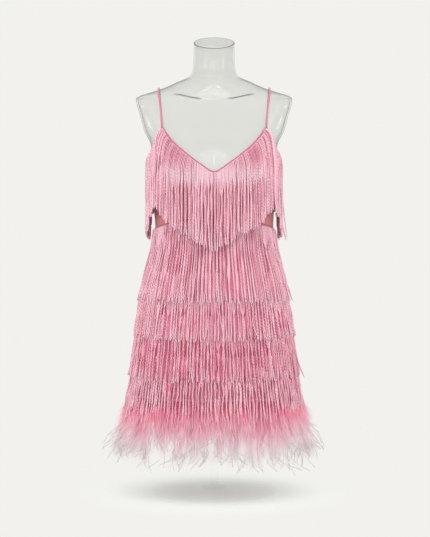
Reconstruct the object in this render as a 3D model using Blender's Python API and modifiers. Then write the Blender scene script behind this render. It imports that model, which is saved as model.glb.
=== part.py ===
"""Flapper dress with fringe tiers and a feather hem, worn on a clear limbless dress form.

Frame: metres, +Z up, the dress faces -Y, the origin is on the floor under the middle of the stand.
All sizes below are millimetres. Points are worked out in millimetres and placed with MM.
Angles run round the body in degrees: 0 at the centre front, 90 at the wearer's left seam (+X) and 180 at the
centre back.
"""

import math
from typing import NamedTuple

import bmesh
import bpy
from mathutils import Vector

MM = 0.001
FULL_TURN = 360
SEAM_GAP = 0.3


# ---------------------------------------------------------------- tables


class Section(NamedTuple):
    """A horizontal cut through a body: a rounded outline, 2 for an ellipse and more for squarer corners."""

    height: float
    half_width: float
    front: float
    back: float
    square: float = 2.0
    centre: float = 0.0


FORM_SECTIONS = [
    # height, half_width, front, back, square, centre
    Section(400, 157, 101, 117),
    Section(440, 160, 105, 122),
    Section(480, 158.5, 106, 122),
    Section(517, 154, 104, 116),
    Section(546, 149, 102, 108),
    Section(575, 143.5, 99, 98),
    Section(604, 138.5, 96.5, 88),
    Section(636, 136.5, 95, 82),
    Section(680, 139, 97, 83),
    Section(720, 144.5, 103, 87, 2.1),
    Section(775, 153, 111, 93, 2.2),
    Section(826, 150, 107, 93, 2.4),
    Section(840, 153, 103, 92, 2.5),
    Section(865, 166, 94, 87, 2.8, 2),
    Section(900, 176, 78, 77, 2.9, 6),
    Section(932, 185, 66, 66, 3.0, 10),
    Section(944, 186.5, 62, 62, 2.8, 12),
    Section(951, 178, 62, 62, 2.6, 13),
    Section(960, 150, 63, 62, 2.3, 14),
    Section(971, 117, 62, 61, 2.1, 14),
    Section(985, 86, 60, 59, 2.0, 14),
    Section(996, 61, 57, 56, 2.0, 14),
    Section(1005, 54, 54, 54, 2.0, 14),
    Section(1020, 50.5, 51, 51, 2.0, 12),
    Section(1050, 49, 49, 49, 2.0, 8),
    Section(1075, 49, 49, 49, 2.0, 3),
]
BODY_CENTRE = 2.5
FORM_WALL = 4
FORM_SIDES = 24
NECK_LEAN_FROM = 1020
NECK_LEAN = math.tan(math.radians(17))

BUST_HEIGHT = 775
BUST_RISE = 15
BUST_ACROSS = 70
BUST_WIDE = 36
BUST_TALL = 46

EASE = 3.0
CLOTH = 1.5
WAIST_GAP = 0.9
WAIST_HEIGHT = 636
WAIST_ARCH = 27
ARCH_POWER = 1.5
HEM_HEIGHT = 215

SKIRT_SECTIONS = [
    # height, half_width, front, back of the skirt cloth's inner face
    Section(HEM_HEIGHT, 199, 152, 155),
    Section(260, 195.5, 149, 153),
    Section(310, 190, 145, 150),
    Section(360, 184.5, 139, 147),
    Section(410, 178.5, 132, 143),
    Section(460, 171.5, 126, 138),
    Section(510, 162.5, 118, 129),
    Section(550, 153, 111, 116),
    Section(590, 144, 103, 99),
    Section(WAIST_HEIGHT, 136.5 + EASE, 95 + EASE, 82 + EASE),
]
SKIRT_COLUMNS = 20
SKIRT_ROWS = 9


class EdgePoint(NamedTuple):
    """A point of the bodice's top edge: how far it is from the centre line, and how high."""

    across: float
    height: float


NECKLINE = [
    EdgePoint(0, 772),
    EdgePoint(8, 773.5),
    EdgePoint(17, 779),
    EdgePoint(34, 791),
    EdgePoint(52, 804),
    EdgePoint(69, 818),
    EdgePoint(86, 832),
    EdgePoint(101, 847),
    EdgePoint(112, 861),
    EdgePoint(120.5, 876),
]
ARMHOLE = [
    EdgePoint(120.5, 876),
    EdgePoint(128, 863),
    EdgePoint(135, 849),
    EdgePoint(140.5, 836),
    EdgePoint(145.5, 822),
]
UNDERARM_HEIGHT = 799


class BackPoint(NamedTuple):
    """A point of the back's top edge, by its angle round the body."""

    angle: float
    height: float


BACK_EDGE = [
    BackPoint(90, UNDERARM_HEIGHT),
    BackPoint(99, 797),
    BackPoint(108, 792),
    BackPoint(119, 784),
    BackPoint(131, 776),
    BackPoint(143, 766),
    BackPoint(155, 759),
    BackPoint(168, 755),
    BackPoint(180, 753),
]
BODICE_ROWS = 8
WIDEST_STEP = 12

BINDING_RADIUS = 1.5
BINDING_GAP = 0.5
STRAP_RADIUS = 2.3
STRAP_CLEARANCE = 0.95
STRAP_BRIDGE = 0.5
STRAP_FRONT_SEAT = 2 * BINDING_RADIUS + 0.5
STRAP_BACK_SEAT = 2 * BINDING_RADIUS + 3.4
STRAP_TURN_HEIGHT = 940
STRAP_TOP_HEIGHT = 964
STRAP_TOP_ANGLES = range(45, 136, 10)
STRAP_ACROSS_FRONT = 120.5
STRAP_ACROSS_TOP = 131
STRAP_ACROSS_BACK = 119

TAPE_TALL = 8
TAPE_DROP = 1.5
TAPE_LIFT = CLOTH + 1.35
FRONT_TAPE_LIFT = CLOTH + 1.9
BACK_TAPE_LIFT = CLOTH + 1.1
FEATHER_LIFT = CLOTH + 0.8
FRINGE_LOFT = 3.0
LOCK_THICK = 1.8
FEATHER_THICK = 2.6
LOCK_SHARE = 0.8
TIP_SHARE = 0.55


class Tier(NamedTuple):
    """A ring of fringe on the skirt.

    heading is the height of its tape's top edge and arch the tape's rise at the front. The ends stand off the
    cloth by stand_off, reached along the length by the power curve, and shift turns the locks round the body.
    """

    name: str
    heading: float
    arch: float
    length: float
    stand_off: float
    curve: float
    shift: float


TIERS = [
    # name, heading, arch, length, stand_off, curve, shift
    Tier("fringe_skirt_1", WAIST_HEIGHT, WAIST_ARCH, 172, 7.0, 1.0, 0),
    Tier("fringe_skirt_2", 541, 0, 158, 7.0, 1.0, 6),
    Tier("fringe_skirt_3", 440, 0, 155, 7.0, 1.0, 0),
    Tier("fringe_skirt_4", 345, 0, 165, 17.0, 2.0, 6),
]
TIER_LOCKS = 30
TIER_STEPS = 3
ARCH_LOST = 0.8
UNEVEN_LENGTH = 0.02
TIER_CLEARANCE = 0.8
TIER_MARGIN = 1.3
OVER_TIER_WITHIN = 20
BODICE_FRINGE_LENGTH = 192
BODICE_FRINGE_STEPS = 4
BODICE_UNEVEN_LENGTH = 0.025
STEPS_CLOSER_ABOVE = 1.3
FRONT_LOCKS = 34
BACK_LOCKS = 22
FEATHER_LOCKS = 40
FEATHER_HEADING = 243
FEATHER_DROP = 148
FEATHER_DROP_VARIES = 24
FEATHER_SPREAD = 38
FEATHER_SPREAD_VARIES = 14

POLE_RADIUS = 11
FLANGE_RADIUS = 28
FLANGE_THICK = 5
PLATE_THICK = 5
BASE_RADIUS = 150
BASE_THICK = 8
BASE_EDGE = 1.5


# ---------------------------------------------------------------- curves and sections


def slope(before, here, after, column):
    """The slope at a row, limited so that the curve never overshoots its rows."""
    down = (here[column] - before[column]) / (here[0] - before[0])
    up = (after[column] - here[column]) / (after[0] - here[0])
    return 2 * down * up / (down + up) if down * up > 0 else 0.0


def row_at(rows, at):
    """The row of a table at any value of its first column, on a smooth curve through the rows."""
    at = min(max(at, rows[0][0]), rows[-1][0])
    i = next(k for k in range(len(rows) - 1) if at <= rows[k + 1][0])
    low, high = rows[i], rows[i + 1]
    span = high[0] - low[0]
    t = (at - low[0]) / span
    values = [at]
    for column in range(1, len(low)):
        straight = (high[column] - low[column]) / span
        first = slope(rows[i - 1], low, high, column) if i > 0 else straight
        last = slope(low, high, rows[i + 2], column) if i + 2 < len(rows) else straight
        values.append(
            low[column] * (1 + 2 * t) * (1 - t) ** 2
            + high[column] * t * t * (3 - 2 * t)
            + span * first * t * (1 - t) ** 2
            - span * last * t * t * (1 - t)
        )
    return type(low)(*values)


def bust(across, height):
    """How far the bust stands out of the plain section."""
    side = (abs(across) - BUST_ACROSS) / BUST_WIDE
    up = (height - BUST_HEIGHT) / BUST_TALL
    return BUST_RISE * math.exp(-side * side - up * up)


def outline(section, angle):
    """The point of a section's outline at an angle, in the horizontal plane."""
    s, c = math.sin(math.radians(angle)), math.cos(math.radians(angle))
    n = section.square
    corner = (abs(s) ** n + abs(c) ** n) ** (-1 / n)
    x = section.half_width * corner * s
    depth = section.front if c > 0 else section.back
    y = BODY_CENTRE + section.centre - depth * corner * c
    return Vector((x, y - bust(x, section.height) * max(0.0, c) ** 0.5))


def garment_section(height):
    """The inner face of the dress: it hugs the form down to the waist and then flares."""
    if height < WAIST_HEIGHT:
        return row_at(SKIRT_SECTIONS, height)
    worn = row_at(FORM_SECTIONS, height)
    return worn._replace(
        half_width=worn.half_width + EASE, front=worn.front + EASE, back=worn.back + EASE
    )


def outward(section, angle):
    """The direction away from the body, square to the outline."""
    along = outline(section, angle + 0.5) - outline(section, angle - 0.5)
    return Vector((along.y, -along.x)).normalized()


def garment_point(angle, height, out=0.0):
    """A point of the dress, `out` millimetres outside the cloth's inner face."""
    section = garment_section(height)
    flat = outline(section, angle) + out * outward(section, angle)
    return Vector((flat.x, flat.y, height))


def form_point(angle, height):
    """A point of the form's outer face. The neck's cut leans forward."""
    flat = outline(row_at(FORM_SECTIONS, height), angle)
    top = FORM_SECTIONS[-1].height
    lean = max(0.0, (height - NECK_LEAN_FROM) / (top - NECK_LEAN_FROM)) * NECK_LEAN
    return Vector((flat.x, flat.y, height + lean * flat.y))


def form_normal(angle, height):
    around = form_point(angle + 1, height) - form_point(angle - 1, height)
    upward = form_point(angle, height + 1) - form_point(angle, height - 1)
    return around.cross(upward).normalized()


def angle_across(across, height, section_at=garment_section):
    """The angle, 0 to 90, at which the outline is this far from the centre line."""
    low, high = 0.0, 90.0
    section = section_at(height)
    for _ in range(40):
        middle = (low + high) / 2
        if outline(section, middle).x < across:
            low = middle
        else:
            high = middle
    return low


def form_section(height):
    return row_at(FORM_SECTIONS, height)


# ---------------------------------------------------------------- the bodice's edges


def by_angle(points):
    return [BackPoint(angle_across(p.across, p.height), p.height) for p in points]


NECK_ROWS = by_angle(NECKLINE)
ARM_ROWS = by_angle(ARMHOLE) + [BackPoint(90.0, UNDERARM_HEIGHT)]
APEX_ANGLE = NECK_ROWS[-1].angle


def top_edge(angle):
    """The height of the bodice's top edge, the same on both sides: neckline, armhole, then the low back."""
    angle = abs(angle)
    if angle > FULL_TURN / 2:
        angle = FULL_TURN - angle
    if angle <= APEX_ANGLE:
        return row_at(NECK_ROWS, angle).height
    return row_at(ARM_ROWS if angle <= 90 else BACK_EDGE, angle).height


def waist_seam(angle):
    """The waist seam rises in an arch towards the centre front."""
    forward = max(0.0, math.cos(math.radians(angle)))
    return WAIST_HEIGHT + WAIST_ARCH * forward**ARCH_POWER


def both_sides(angles, mirror):
    """The angles and their mirror images, in order, with a middle one wherever a step is wide."""
    ordered = sorted(set(angles) | {mirror - a for a in angles})
    middles = [(a + b) / 2 for a, b in zip(ordered, ordered[1:]) if b - a > WIDEST_STEP]
    return sorted(ordered + middles)


# ---------------------------------------------------------------- Blender objects


def clear_scene():
    for obj in list(bpy.data.objects):
        bpy.data.objects.remove(obj)


def material(name, colour, roughness, metallic=0.0, alpha=1.0):
    made = bpy.data.materials.new(name)
    made.use_nodes = True
    shader = made.node_tree.nodes["Principled BSDF"]
    shader.inputs["Base Color"].default_value = (*colour, 1)
    shader.inputs["Roughness"].default_value = roughness
    shader.inputs["Metallic"].default_value = metallic
    shader.inputs["Alpha"].default_value = alpha
    return made


def add_object(name, data, collection, finish):
    obj = bpy.data.objects.new(name, data)
    data.materials.append(finish)
    collection.objects.link(obj)
    return obj


def add_mesh(name, bm, collection, finish):
    mesh = bpy.data.meshes.new(name)
    bm.to_mesh(mesh)
    bm.free()
    mesh.shade_smooth()
    return add_object(name, mesh, collection, finish)


def solidify(obj, thickness, offset):
    """Makes an open surface a wall, to its outer side (offset 1) or its inner side (offset -1)."""
    wall = obj.modifiers.new("wall", "SOLIDIFY")
    wall.thickness = thickness * MM
    wall.offset = offset


def rolled_grid(angles, rows, point):
    """A grid with a column for each angle, placed by point(angle, share). share is 0 below and 1 above."""
    bm = bmesh.new()
    columns = len(angles) - 1
    bmesh.ops.create_grid(bm, x_segments=columns, y_segments=rows, size=0.5)
    for vertex in bm.verts:
        column = round((vertex.co.x + 0.5) * columns)
        vertex.co = point(angles[column], vertex.co.y + 0.5) * MM
    return bm


def panel(name, angles, low_edge, high_edge, rows, collection, finish):
    """A cloth panel between two seams, as a wall of cloth outside its inner face."""

    def point(angle, share):
        low, high = low_edge(angle), high_edge(angle)
        return garment_point(angle, low + (high - low) * share)

    obj = add_mesh(name, rolled_grid(angles, rows, point), collection, finish)
    solidify(obj, CLOTH, 1)
    return obj


def tube(name, points, radius, sides_level, collection, finish):
    """A rolled strap or binding: a round tube along a line of points."""
    curve = bpy.data.curves.new(name, "CURVE")
    curve.dimensions = "3D"
    curve.bevel_depth = radius * MM
    curve.bevel_resolution = sides_level
    curve.use_fill_caps = True
    spline = curve.splines.new("POLY")
    spline.points.add(len(points) - 1)
    for spot, point in zip(spline.points, points):
        spot.co = (*(point * MM), 1)
    spline.use_smooth = True
    return add_object(name, curve, collection, finish)


def turned(name, profile, sides, collection, finish):
    """A turned shape: a profile of (radius, height) pairs from top to bottom, round the Z axis."""
    bm = bmesh.new()
    verts = [bm.verts.new((radius * MM, 0, height * MM)) for radius, height in profile]
    for first, second in zip(verts, verts[1:]):
        bm.edges.new((first, second))
    obj = add_mesh(name, bm, collection, finish)
    screw = obj.modifiers.new("turn", "SCREW")
    screw.steps = screw.render_steps = sides
    screw.use_merge_vertices = True
    screw.merge_threshold = 0.01 * MM
    return obj


# ---------------------------------------------------------------- the form and its stand


def build_form(collection, clear):
    """The clear torso shell, open at the neck, on a plate, a pole and a round base."""
    heights = sorted({s.height for s in FORM_SECTIONS} | {800, 750})
    angles = [FULL_TURN * i / FORM_SIDES for i in range(FORM_SIDES + 1)]

    def point(angle, share):
        return form_point(angle, heights[round(share * (len(heights) - 1))])

    bm = rolled_grid(angles, len(heights) - 1, point)
    bmesh.ops.remove_doubles(bm, verts=bm.verts, dist=0.001 * MM)
    solidify(add_mesh("form_torso", bm, collection, clear), FORM_WALL, -1)

    bottom = FORM_SECTIONS[0]
    plate_top = bottom.height - SEAM_GAP
    rim = [outline(bottom, FULL_TURN * i / FORM_SIDES) for i in range(FORM_SIDES)]
    curve = bpy.data.curves.new("form_plate", "CURVE")
    curve.dimensions = "2D"
    curve.fill_mode = "BOTH"
    curve.extrude = PLATE_THICK / 2 * MM
    spline = curve.splines.new("POLY")
    spline.points.add(len(rim) - 1)
    for spot, flat in zip(spline.points, rim):
        spot.co = (flat.x * MM, flat.y * MM, 0, 1)
    spline.use_cyclic_u = True
    plate = add_object("form_plate", curve, collection, clear)
    plate.location.z = (plate_top - PLATE_THICK / 2) * MM

    top = plate_top - PLATE_THICK - SEAM_GAP
    foot = BASE_THICK + SEAM_GAP
    pole = [
        (0, top),
        (FLANGE_RADIUS, top),
        (FLANGE_RADIUS, top - FLANGE_THICK),
        (POLE_RADIUS, top - FLANGE_THICK),
        (POLE_RADIUS, foot + FLANGE_THICK),
        (FLANGE_RADIUS, foot + FLANGE_THICK),
        (FLANGE_RADIUS, foot),
        (0, foot),
    ]
    turned("form_pole", pole, 24, collection, clear)
    base = [
        (0, BASE_THICK),
        (BASE_RADIUS - BASE_EDGE, BASE_THICK),
        (BASE_RADIUS, BASE_THICK - BASE_EDGE),
        (BASE_RADIUS, BASE_EDGE),
        (BASE_RADIUS - BASE_EDGE, 0),
        (0, 0),
    ]
    turned("form_base", base, 48, collection, clear)


# ---------------------------------------------------------------- the cloth panels


def build_panels(collection, satin):
    """The bodice and the skirt, each a front and a back, parted a little at the seams."""
    seam = 0.07
    half = {round(p.angle, 3) for p in NECK_ROWS + ARM_ROWS if p.angle < 90}
    front = both_sides(half | {90 - seam}, 0)
    back = both_sides({p.angle for p in BACK_EDGE[1:]} | {90 + seam}, FULL_TURN)
    for name, angles in (("bodice_front", front), ("bodice_back", back)):
        panel(name, angles, waist_seam, top_edge, BODICE_ROWS, collection, satin)

    def skirt_top(angle):
        return waist_seam(angle) - WAIST_GAP

    for name, middle in (("skirt_front", 0), ("skirt_back", FULL_TURN / 2)):
        reach = 90 - seam
        angles = [middle - reach + 2 * reach * i / SKIRT_COLUMNS for i in range(SKIRT_COLUMNS + 1)]
        panel(name, angles, lambda a: HEM_HEIGHT, skirt_top, SKIRT_ROWS, collection, satin)


def edge_line(angles):
    """The centre line of a binding: over the wall's top edge, square to it, and mitred at the corners."""
    distance = BINDING_RADIUS + BINDING_GAP
    edge = [garment_point(a, top_edge(a), CLOTH / 2) for a in angles]
    line = []
    for i, (angle, here) in enumerate(zip(angles, edge)):
        out = outward(garment_section(here.z), angle).to_3d()
        sides = [edge[k + 1] - edge[k] for k in (i - 1, i) if 0 <= k < len(edge) - 1]
        ups = [out.cross(side).normalized() for side in sides]
        up = sum(ups, Vector()).normalized()
        line.append(here + up * distance / max(0.4, up.dot(ups[0])))
    return line


def build_bindings(collection, binding):
    """The narrow binding along the neckline and armholes, and along the low back."""
    margin = 0.6
    half = {round(p.angle, 3) for p in NECK_ROWS + ARM_ROWS if p.angle < 89}
    front = both_sides(half | {90 - margin}, 0)
    back = both_sides({p.angle for p in BACK_EDGE[1:]} | {90 + margin}, FULL_TURN)
    tube("binding_front", edge_line(front), BINDING_RADIUS, 1, collection, binding)
    tube("binding_back", edge_line(back), BINDING_RADIUS, 1, collection, binding)


def strap_line(side):
    """The line of a strap: from the point of the cup over the shoulder and down to the low back."""
    line = []

    def add(angle, height, bridge=0.0):
        lift = STRAP_RADIUS + STRAP_CLEARANCE + bridge
        spot = form_point(angle, height) + lift * form_normal(angle, height)
        line.append(Vector((side * spot.x, spot.y, spot.z)))

    def run(foot, foot_across, count, angle_of):
        """Evenly spaced points of the straight run from a foot up to the turn of the shoulder."""
        for i in range(count):
            height = foot + (STRAP_TURN_HEIGHT - foot) * i / count
            rise = (height - foot) / (STRAP_TOP_HEIGHT - foot)
            across = foot_across + (STRAP_ACROSS_TOP - foot_across) * rise
            yield angle_of(angle_across(across, height, form_section)), height

    back_angle = 180 - angle_across(STRAP_ACROSS_BACK, BACK_EDGE[3].height)
    front_foot = NECKLINE[-1].height + STRAP_FRONT_SEAT
    back_foot = top_edge(back_angle) + STRAP_BACK_SEAT
    for angle, height in run(front_foot, STRAP_ACROSS_FRONT, 4, lambda a: a):
        add(angle, height)
    for angle in STRAP_TOP_ANGLES:
        add(angle, ridge_height(STRAP_ACROSS_TOP, angle), STRAP_BRIDGE)
    for angle, height in reversed(list(run(back_foot, STRAP_ACROSS_BACK, 8, lambda a: 180 - a))):
        add(angle, height)
    return line


def ridge_height(across, angle):
    """The height near the top of the shoulder at which the form is this far from the centre line."""
    low, high = 944.0, 996.0
    for _ in range(40):
        middle = (low + high) / 2
        if outline(form_section(middle), angle).x > across:
            low = middle
        else:
            high = middle
    return low


def build_straps(collection, binding):
    for name, side in (("strap_left", 1), ("strap_right", -1)):
        tube(name, strap_line(side), STRAP_RADIUS, 2, collection, binding)


# ---------------------------------------------------------------- fringe and feathers


def fringe(name, spans, tape_top, fall, steps, thick, collection, finish):
    """A heading tape with locks hanging from it, as one sheet made a wall.

    spans holds the left and right angle of each lock. fall(lock, angle, step) is the point that a side of the
    lock has come to after so many steps down, and step 0 is the tape's lower edge.
    """
    bm = bmesh.new()
    angles = [angle for span in spans for angle in span]
    columns = len(angles) - 1
    bmesh.ops.create_grid(bm, x_segments=columns, y_segments=1, size=0.5)
    lower = {}
    for vertex in bm.verts:
        column = round((vertex.co.x + 0.5) * columns)
        angle = angles[column]
        if vertex.co.y > 0:
            vertex.co = tape_top(angle) * MM
        else:
            lower[column] = vertex
            vertex.co = fall(column // 2, angle, 0) * MM
    for lock in range(len(spans)):
        sides = [lower[2 * lock], lower[2 * lock + 1]]
        for step in range(1, steps + 1):
            edge = bm.edges.get(sides)
            grown = bmesh.ops.extrude_edge_only(bm, edges=[edge])["geom"]
            fresh = [item for item in grown if isinstance(item, bmesh.types.BMVert)]
            if (fresh[0].co - sides[0].co).length > (fresh[1].co - sides[0].co).length:
                fresh.reverse()
            for vertex, angle in zip(fresh, spans[lock]):
                vertex.co = fall(lock, angle, step) * MM
            sides = fresh
    bmesh.ops.recalc_face_normals(bm, faces=bm.faces)
    bm.faces.ensure_lookup_table()
    face = bm.faces[0]
    if face.normal.xy.dot(face.calc_center_median().xy) < 0:
        bmesh.ops.reverse_faces(bm, faces=bm.faces)
    solidify(add_mesh(name, bm, collection, finish), thick, 1)


def unevenness(lock, seed):
    """A number from -1 to 1 for each lock, the same each time: locks differ a little in length and fall."""
    return math.sin(lock * 2.399 + seed) * 0.6 + math.sin(lock * 5.13 + 2 * seed) * 0.4


def ring_spans(count, shift=0.0):
    """The angles of locks all round the body, with a gap near the back where the tape's ends meet."""
    pitch = FULL_TURN / count
    start = -FULL_TURN / 2 + pitch * (1 - LOCK_SHARE) / 2 + shift
    return [
        (start + pitch * i, start + pitch * (i + LOCK_SHARE))
        for i in range(count)
    ]


def narrowed(span, angle, share):
    """The angle of a lock's side, drawn in towards its middle as it nears the tip."""
    middle = sum(span) / 2
    return middle + (angle - middle) * (1 - (1 - TIP_SHARE) * share**2)


def build_tier(tier, seed, collection, fringe_finish):
    """A ring of fringe on the skirt. Its locks hang over the next ring's tape."""
    spans = ring_spans(TIER_LOCKS, tier.shift)

    def heading(angle):
        rise = (waist_seam(angle) - WAIST_HEIGHT) / WAIST_ARCH
        return tier.heading + tier.arch * rise - TAPE_DROP

    def tape_top(angle):
        return garment_point(angle, heading(angle), TAPE_LIFT)

    def fall(lock, angle, step):
        share = step / TIER_STEPS
        length = (tier.length - TAPE_TALL) * (1 + UNEVEN_LENGTH * unevenness(lock, seed))
        extra = (heading(angle) + TAPE_DROP - tier.heading) * ARCH_LOST
        height = heading(angle) - TAPE_TALL - (length + extra) * share
        where = narrowed(spans[lock], angle, share)
        return garment_point(where, height, TAPE_LIFT + tier.stand_off * share**tier.curve)

    fringe(tier.name, spans, tape_top, fall, TIER_STEPS, LOCK_THICK, collection, fringe_finish)


def under_bodice_fringe(height):
    """How far outside the cloth's inner face the bodice's fringe hangs. It clears the first tier's locks."""
    below = max(0.0, WAIST_HEIGHT + WAIST_ARCH - height)
    rate = TIERS[0].stand_off / TIERS[0].length
    over_tier = LOCK_THICK + TIER_CLEARANCE + TIER_MARGIN * rate * below
    return TAPE_LIFT + FRINGE_LOFT + over_tier * min(1.0, below / OVER_TIER_WITHIN)


def pushed_out(flat, height, out):
    """The point itself if it is outside the dress, or moved straight out from the middle until it is."""
    section = garment_section(height)
    y = flat.y - section.centre - BODY_CENTRE
    lobe = bust(flat.x, height) if y < 0 else 0.0
    depth = section.front if y < 0 else section.back
    level = (abs(flat.x) / (section.half_width + out)) ** section.square
    level += (max(0.0, abs(y) - lobe) / (depth + out)) ** section.square
    if level >= 1:
        return flat
    grow = max(level, 0.05) ** (-1 / section.square)
    moved = math.copysign((abs(y) - lobe) * grow + lobe, y)
    return Vector((flat.x * grow, moved + section.centre + BODY_CENTRE))


def hanging(angle, top, lift, length, steps):
    """The points of a strand that lies on the bust and then hangs free, one for each step down."""
    fine = 8
    root = garment_point(angle, top, lift)
    flat, points = root.xy, [root]
    for i in range(1, steps * fine + 1):
        height = top - length * (i / (steps * fine)) ** STEPS_CLOSER_ABOVE
        flat = pushed_out(flat, height, under_bodice_fringe(height))
        if i % fine == 0:
            points.append(Vector((flat.x, flat.y, height)))
    return points


def build_bodice_fringe(collection, fringe_finish):
    """The fringe along the neckline and armholes, and along the low back."""
    steps = BODICE_FRINGE_STEPS
    margin = 0.8
    for name, middle, locks, lift in (
        ("fringe_bodice_front", 0, FRONT_LOCKS, FRONT_TAPE_LIFT),
        ("fringe_bodice_back", FULL_TURN / 2, BACK_LOCKS, BACK_TAPE_LIFT),
    ):
        reach = 90 - margin
        pitch = 2 * reach / (locks - 1 + LOCK_SHARE)
        start = middle - reach
        spans = [(start + pitch * i, start + pitch * (i + LOCK_SHARE)) for i in range(locks)]
        paths = {}
        for lock, span in enumerate(spans):
            length = BODICE_FRINGE_LENGTH - TAPE_TALL
            length *= 1 + BODICE_UNEVEN_LENGTH * unevenness(lock, middle)
            for angle in span:
                paths[angle] = hanging(angle, top_edge(angle) - TAPE_DROP - TAPE_TALL, lift, length, steps)

        def fall(lock, angle, step, spans=spans, paths=paths):
            here = paths[angle][step]
            middle_point = (paths[spans[lock][0]][step] + paths[spans[lock][1]][step]) / 2
            share = 1 - (1 - TIP_SHARE) * (step / steps) ** 2
            return middle_point + (here - middle_point) * share

        def tape_top(angle, lift=lift):
            return garment_point(angle, top_edge(angle) - TAPE_DROP, lift)

        fringe(name, spans, tape_top, fall, steps, LOCK_THICK, collection, fringe_finish)


def build_feathers(collection, feather):
    """The feather trim: plumes that spread out from under the last tier and curl down past the hem."""
    steps = 4
    spans = ring_spans(FEATHER_LOCKS)

    def tape_top(angle):
        return garment_point(angle, FEATHER_HEADING, FEATHER_LIFT)

    def fall(lock, angle, step):
        share = step / steps
        pair = min(lock, FEATHER_LOCKS - 1 - lock)
        drop = FEATHER_DROP + FEATHER_DROP_VARIES * unevenness(pair, 1.7)
        spread = (FEATHER_SPREAD - FEATHER_SPREAD_VARIES * unevenness(pair, 4.1)) * share**1.9
        height = FEATHER_HEADING - TAPE_TALL - drop * share
        where = narrowed(spans[lock], angle, share)
        section_height = max(height, HEM_HEIGHT)
        spot = garment_point(where, section_height, FEATHER_LIFT + spread)
        return Vector((spot.x, spot.y, height))

    fringe("feather_trim", spans, tape_top, fall, steps, FEATHER_THICK, collection, feather)


def main():
    clear_scene()
    collection = bpy.data.collections.new("flapper_dress")
    bpy.context.scene.collection.children.link(collection)
    clear = material("clear_acrylic", (0.86, 0.87, 0.85), 0.05, alpha=0.35)
    satin = material("pink_satin", (0.62, 0.21, 0.28), 0.45)
    binding = material("pink_binding", (0.58, 0.18, 0.26), 0.5)
    fringe_finish = material("pink_rayon_fringe", (0.75, 0.33, 0.43), 0.4)
    feather = material("pink_ostrich_feather", (0.80, 0.42, 0.52), 0.8)
    build_form(collection, clear)
    build_panels(collection, satin)
    build_bindings(collection, binding)
    build_straps(collection, binding)
    build_bodice_fringe(collection, fringe_finish)
    for seed, tier in enumerate(TIERS):
        build_tier(tier, seed, collection, fringe_finish)
    build_feathers(collection, feather)


main()
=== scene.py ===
# %% [markdown]
# # A fringed party dress on a clear dress form
#
# The dress is dusty pink satin under rows of twisted rayon fringe, with an ostrich feather hem. It is worn
# on a clear form without head or limbs. The solids of both are already there as a measured frame. This
# lesson dresses that frame: fine cords hang where the frame has broad locks, soft barbs stand where it has
# plain plumes, and the cloth becomes a thin satin skin.

# %% Load the measured frame
import math
from typing import NamedTuple

import bpy
import numpy as np
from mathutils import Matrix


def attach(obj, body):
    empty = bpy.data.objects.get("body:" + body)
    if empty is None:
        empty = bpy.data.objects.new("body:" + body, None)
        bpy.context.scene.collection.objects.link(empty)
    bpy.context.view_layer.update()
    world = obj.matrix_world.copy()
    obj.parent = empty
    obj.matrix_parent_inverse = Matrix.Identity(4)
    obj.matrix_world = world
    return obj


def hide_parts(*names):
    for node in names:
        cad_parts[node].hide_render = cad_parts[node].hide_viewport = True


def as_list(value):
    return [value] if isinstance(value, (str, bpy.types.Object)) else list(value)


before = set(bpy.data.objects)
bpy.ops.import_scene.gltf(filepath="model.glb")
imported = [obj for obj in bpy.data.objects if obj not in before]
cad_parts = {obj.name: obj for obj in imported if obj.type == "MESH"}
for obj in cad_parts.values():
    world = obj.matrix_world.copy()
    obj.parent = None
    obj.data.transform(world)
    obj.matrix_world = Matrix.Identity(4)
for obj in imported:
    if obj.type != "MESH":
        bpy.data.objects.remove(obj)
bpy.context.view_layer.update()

MM = 0.001
print("solids in the frame:", len(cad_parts))

# %% [markdown]
# ## The camera
#
# A long lens a few metres away keeps the dress free of distortion, as in a catalogue picture. The camera
# stands a little above the middle of the dress and looks straight at its front, which faces -Y.

# %% Place the camera
LOOK_AT = np.array([0.002, 0.0, 0.539])
CAMERA_AWAY = 5.0
CAMERA_ABOVE = math.radians(4)


def placed(name, data):
    """A new object in the scene."""
    made = bpy.data.objects.new(name, data)
    bpy.context.scene.collection.objects.link(made)
    return made


camera = placed("camera", bpy.data.cameras.new("camera"))
camera.data.lens = 140
camera.data.sensor_width = 36
camera.data.clip_end = 60
camera.location = LOOK_AT + CAMERA_AWAY * np.array([0, -math.cos(CAMERA_ABOVE), math.sin(CAMERA_ABOVE)])
camera.rotation_euler = (math.pi / 2 - CAMERA_ABOVE, 0, 0)
bpy.context.scene.camera = camera
bpy.context.scene.view_settings.view_transform = "Standard"
print("camera at", [round(value, 3) for value in camera.location])

# %% [markdown]
# ## Finishes
#
# A finish is a node tree, and most of its nodes do sums. A small class lets those sums be written as
# ordinary expressions: it wraps a socket, and each operator adds the Math node that does it. Colours go
# through a Mix node, because a Math node would turn them grey.


# %% Write shader sums as expressions
class Wire:
    """A socket that carries a number or a colour through a finish."""

    def __init__(self, finish, socket):
        self.finish, self.socket = finish, socket

    def sum(self, operation, *values):
        return self.finish.node("Math", {"operation": operation}, dict(enumerate(values)))

    def __add__(self, other):
        return self.sum("ADD", self, other)

    def __sub__(self, other):
        return self.sum("SUBTRACT", self, other)

    def __rsub__(self, other):
        return self.sum("SUBTRACT", other, self)

    def __mul__(self, other):
        return self.sum("MULTIPLY", self, other)

    def __truediv__(self, other):
        return self.sum("DIVIDE", self, other)

    def __pow__(self, other):
        return self.sum("POWER", self, other)

    __radd__, __rmul__ = __add__, __mul__

    def wave(self):
        """From 0 to 1 and back, once for every whole number."""
        return self.sum("SINE", self * math.tau) * 0.5 + 0.5

    def between(self, low, high):
        """0 below low, 1 above high, and a smooth rise between them."""
        settings = {"interpolation_type": "SMOOTHSTEP"}
        return self.finish.node("MapRange", settings, {"Value": self, "From Min": low, "From Max": high})


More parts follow.
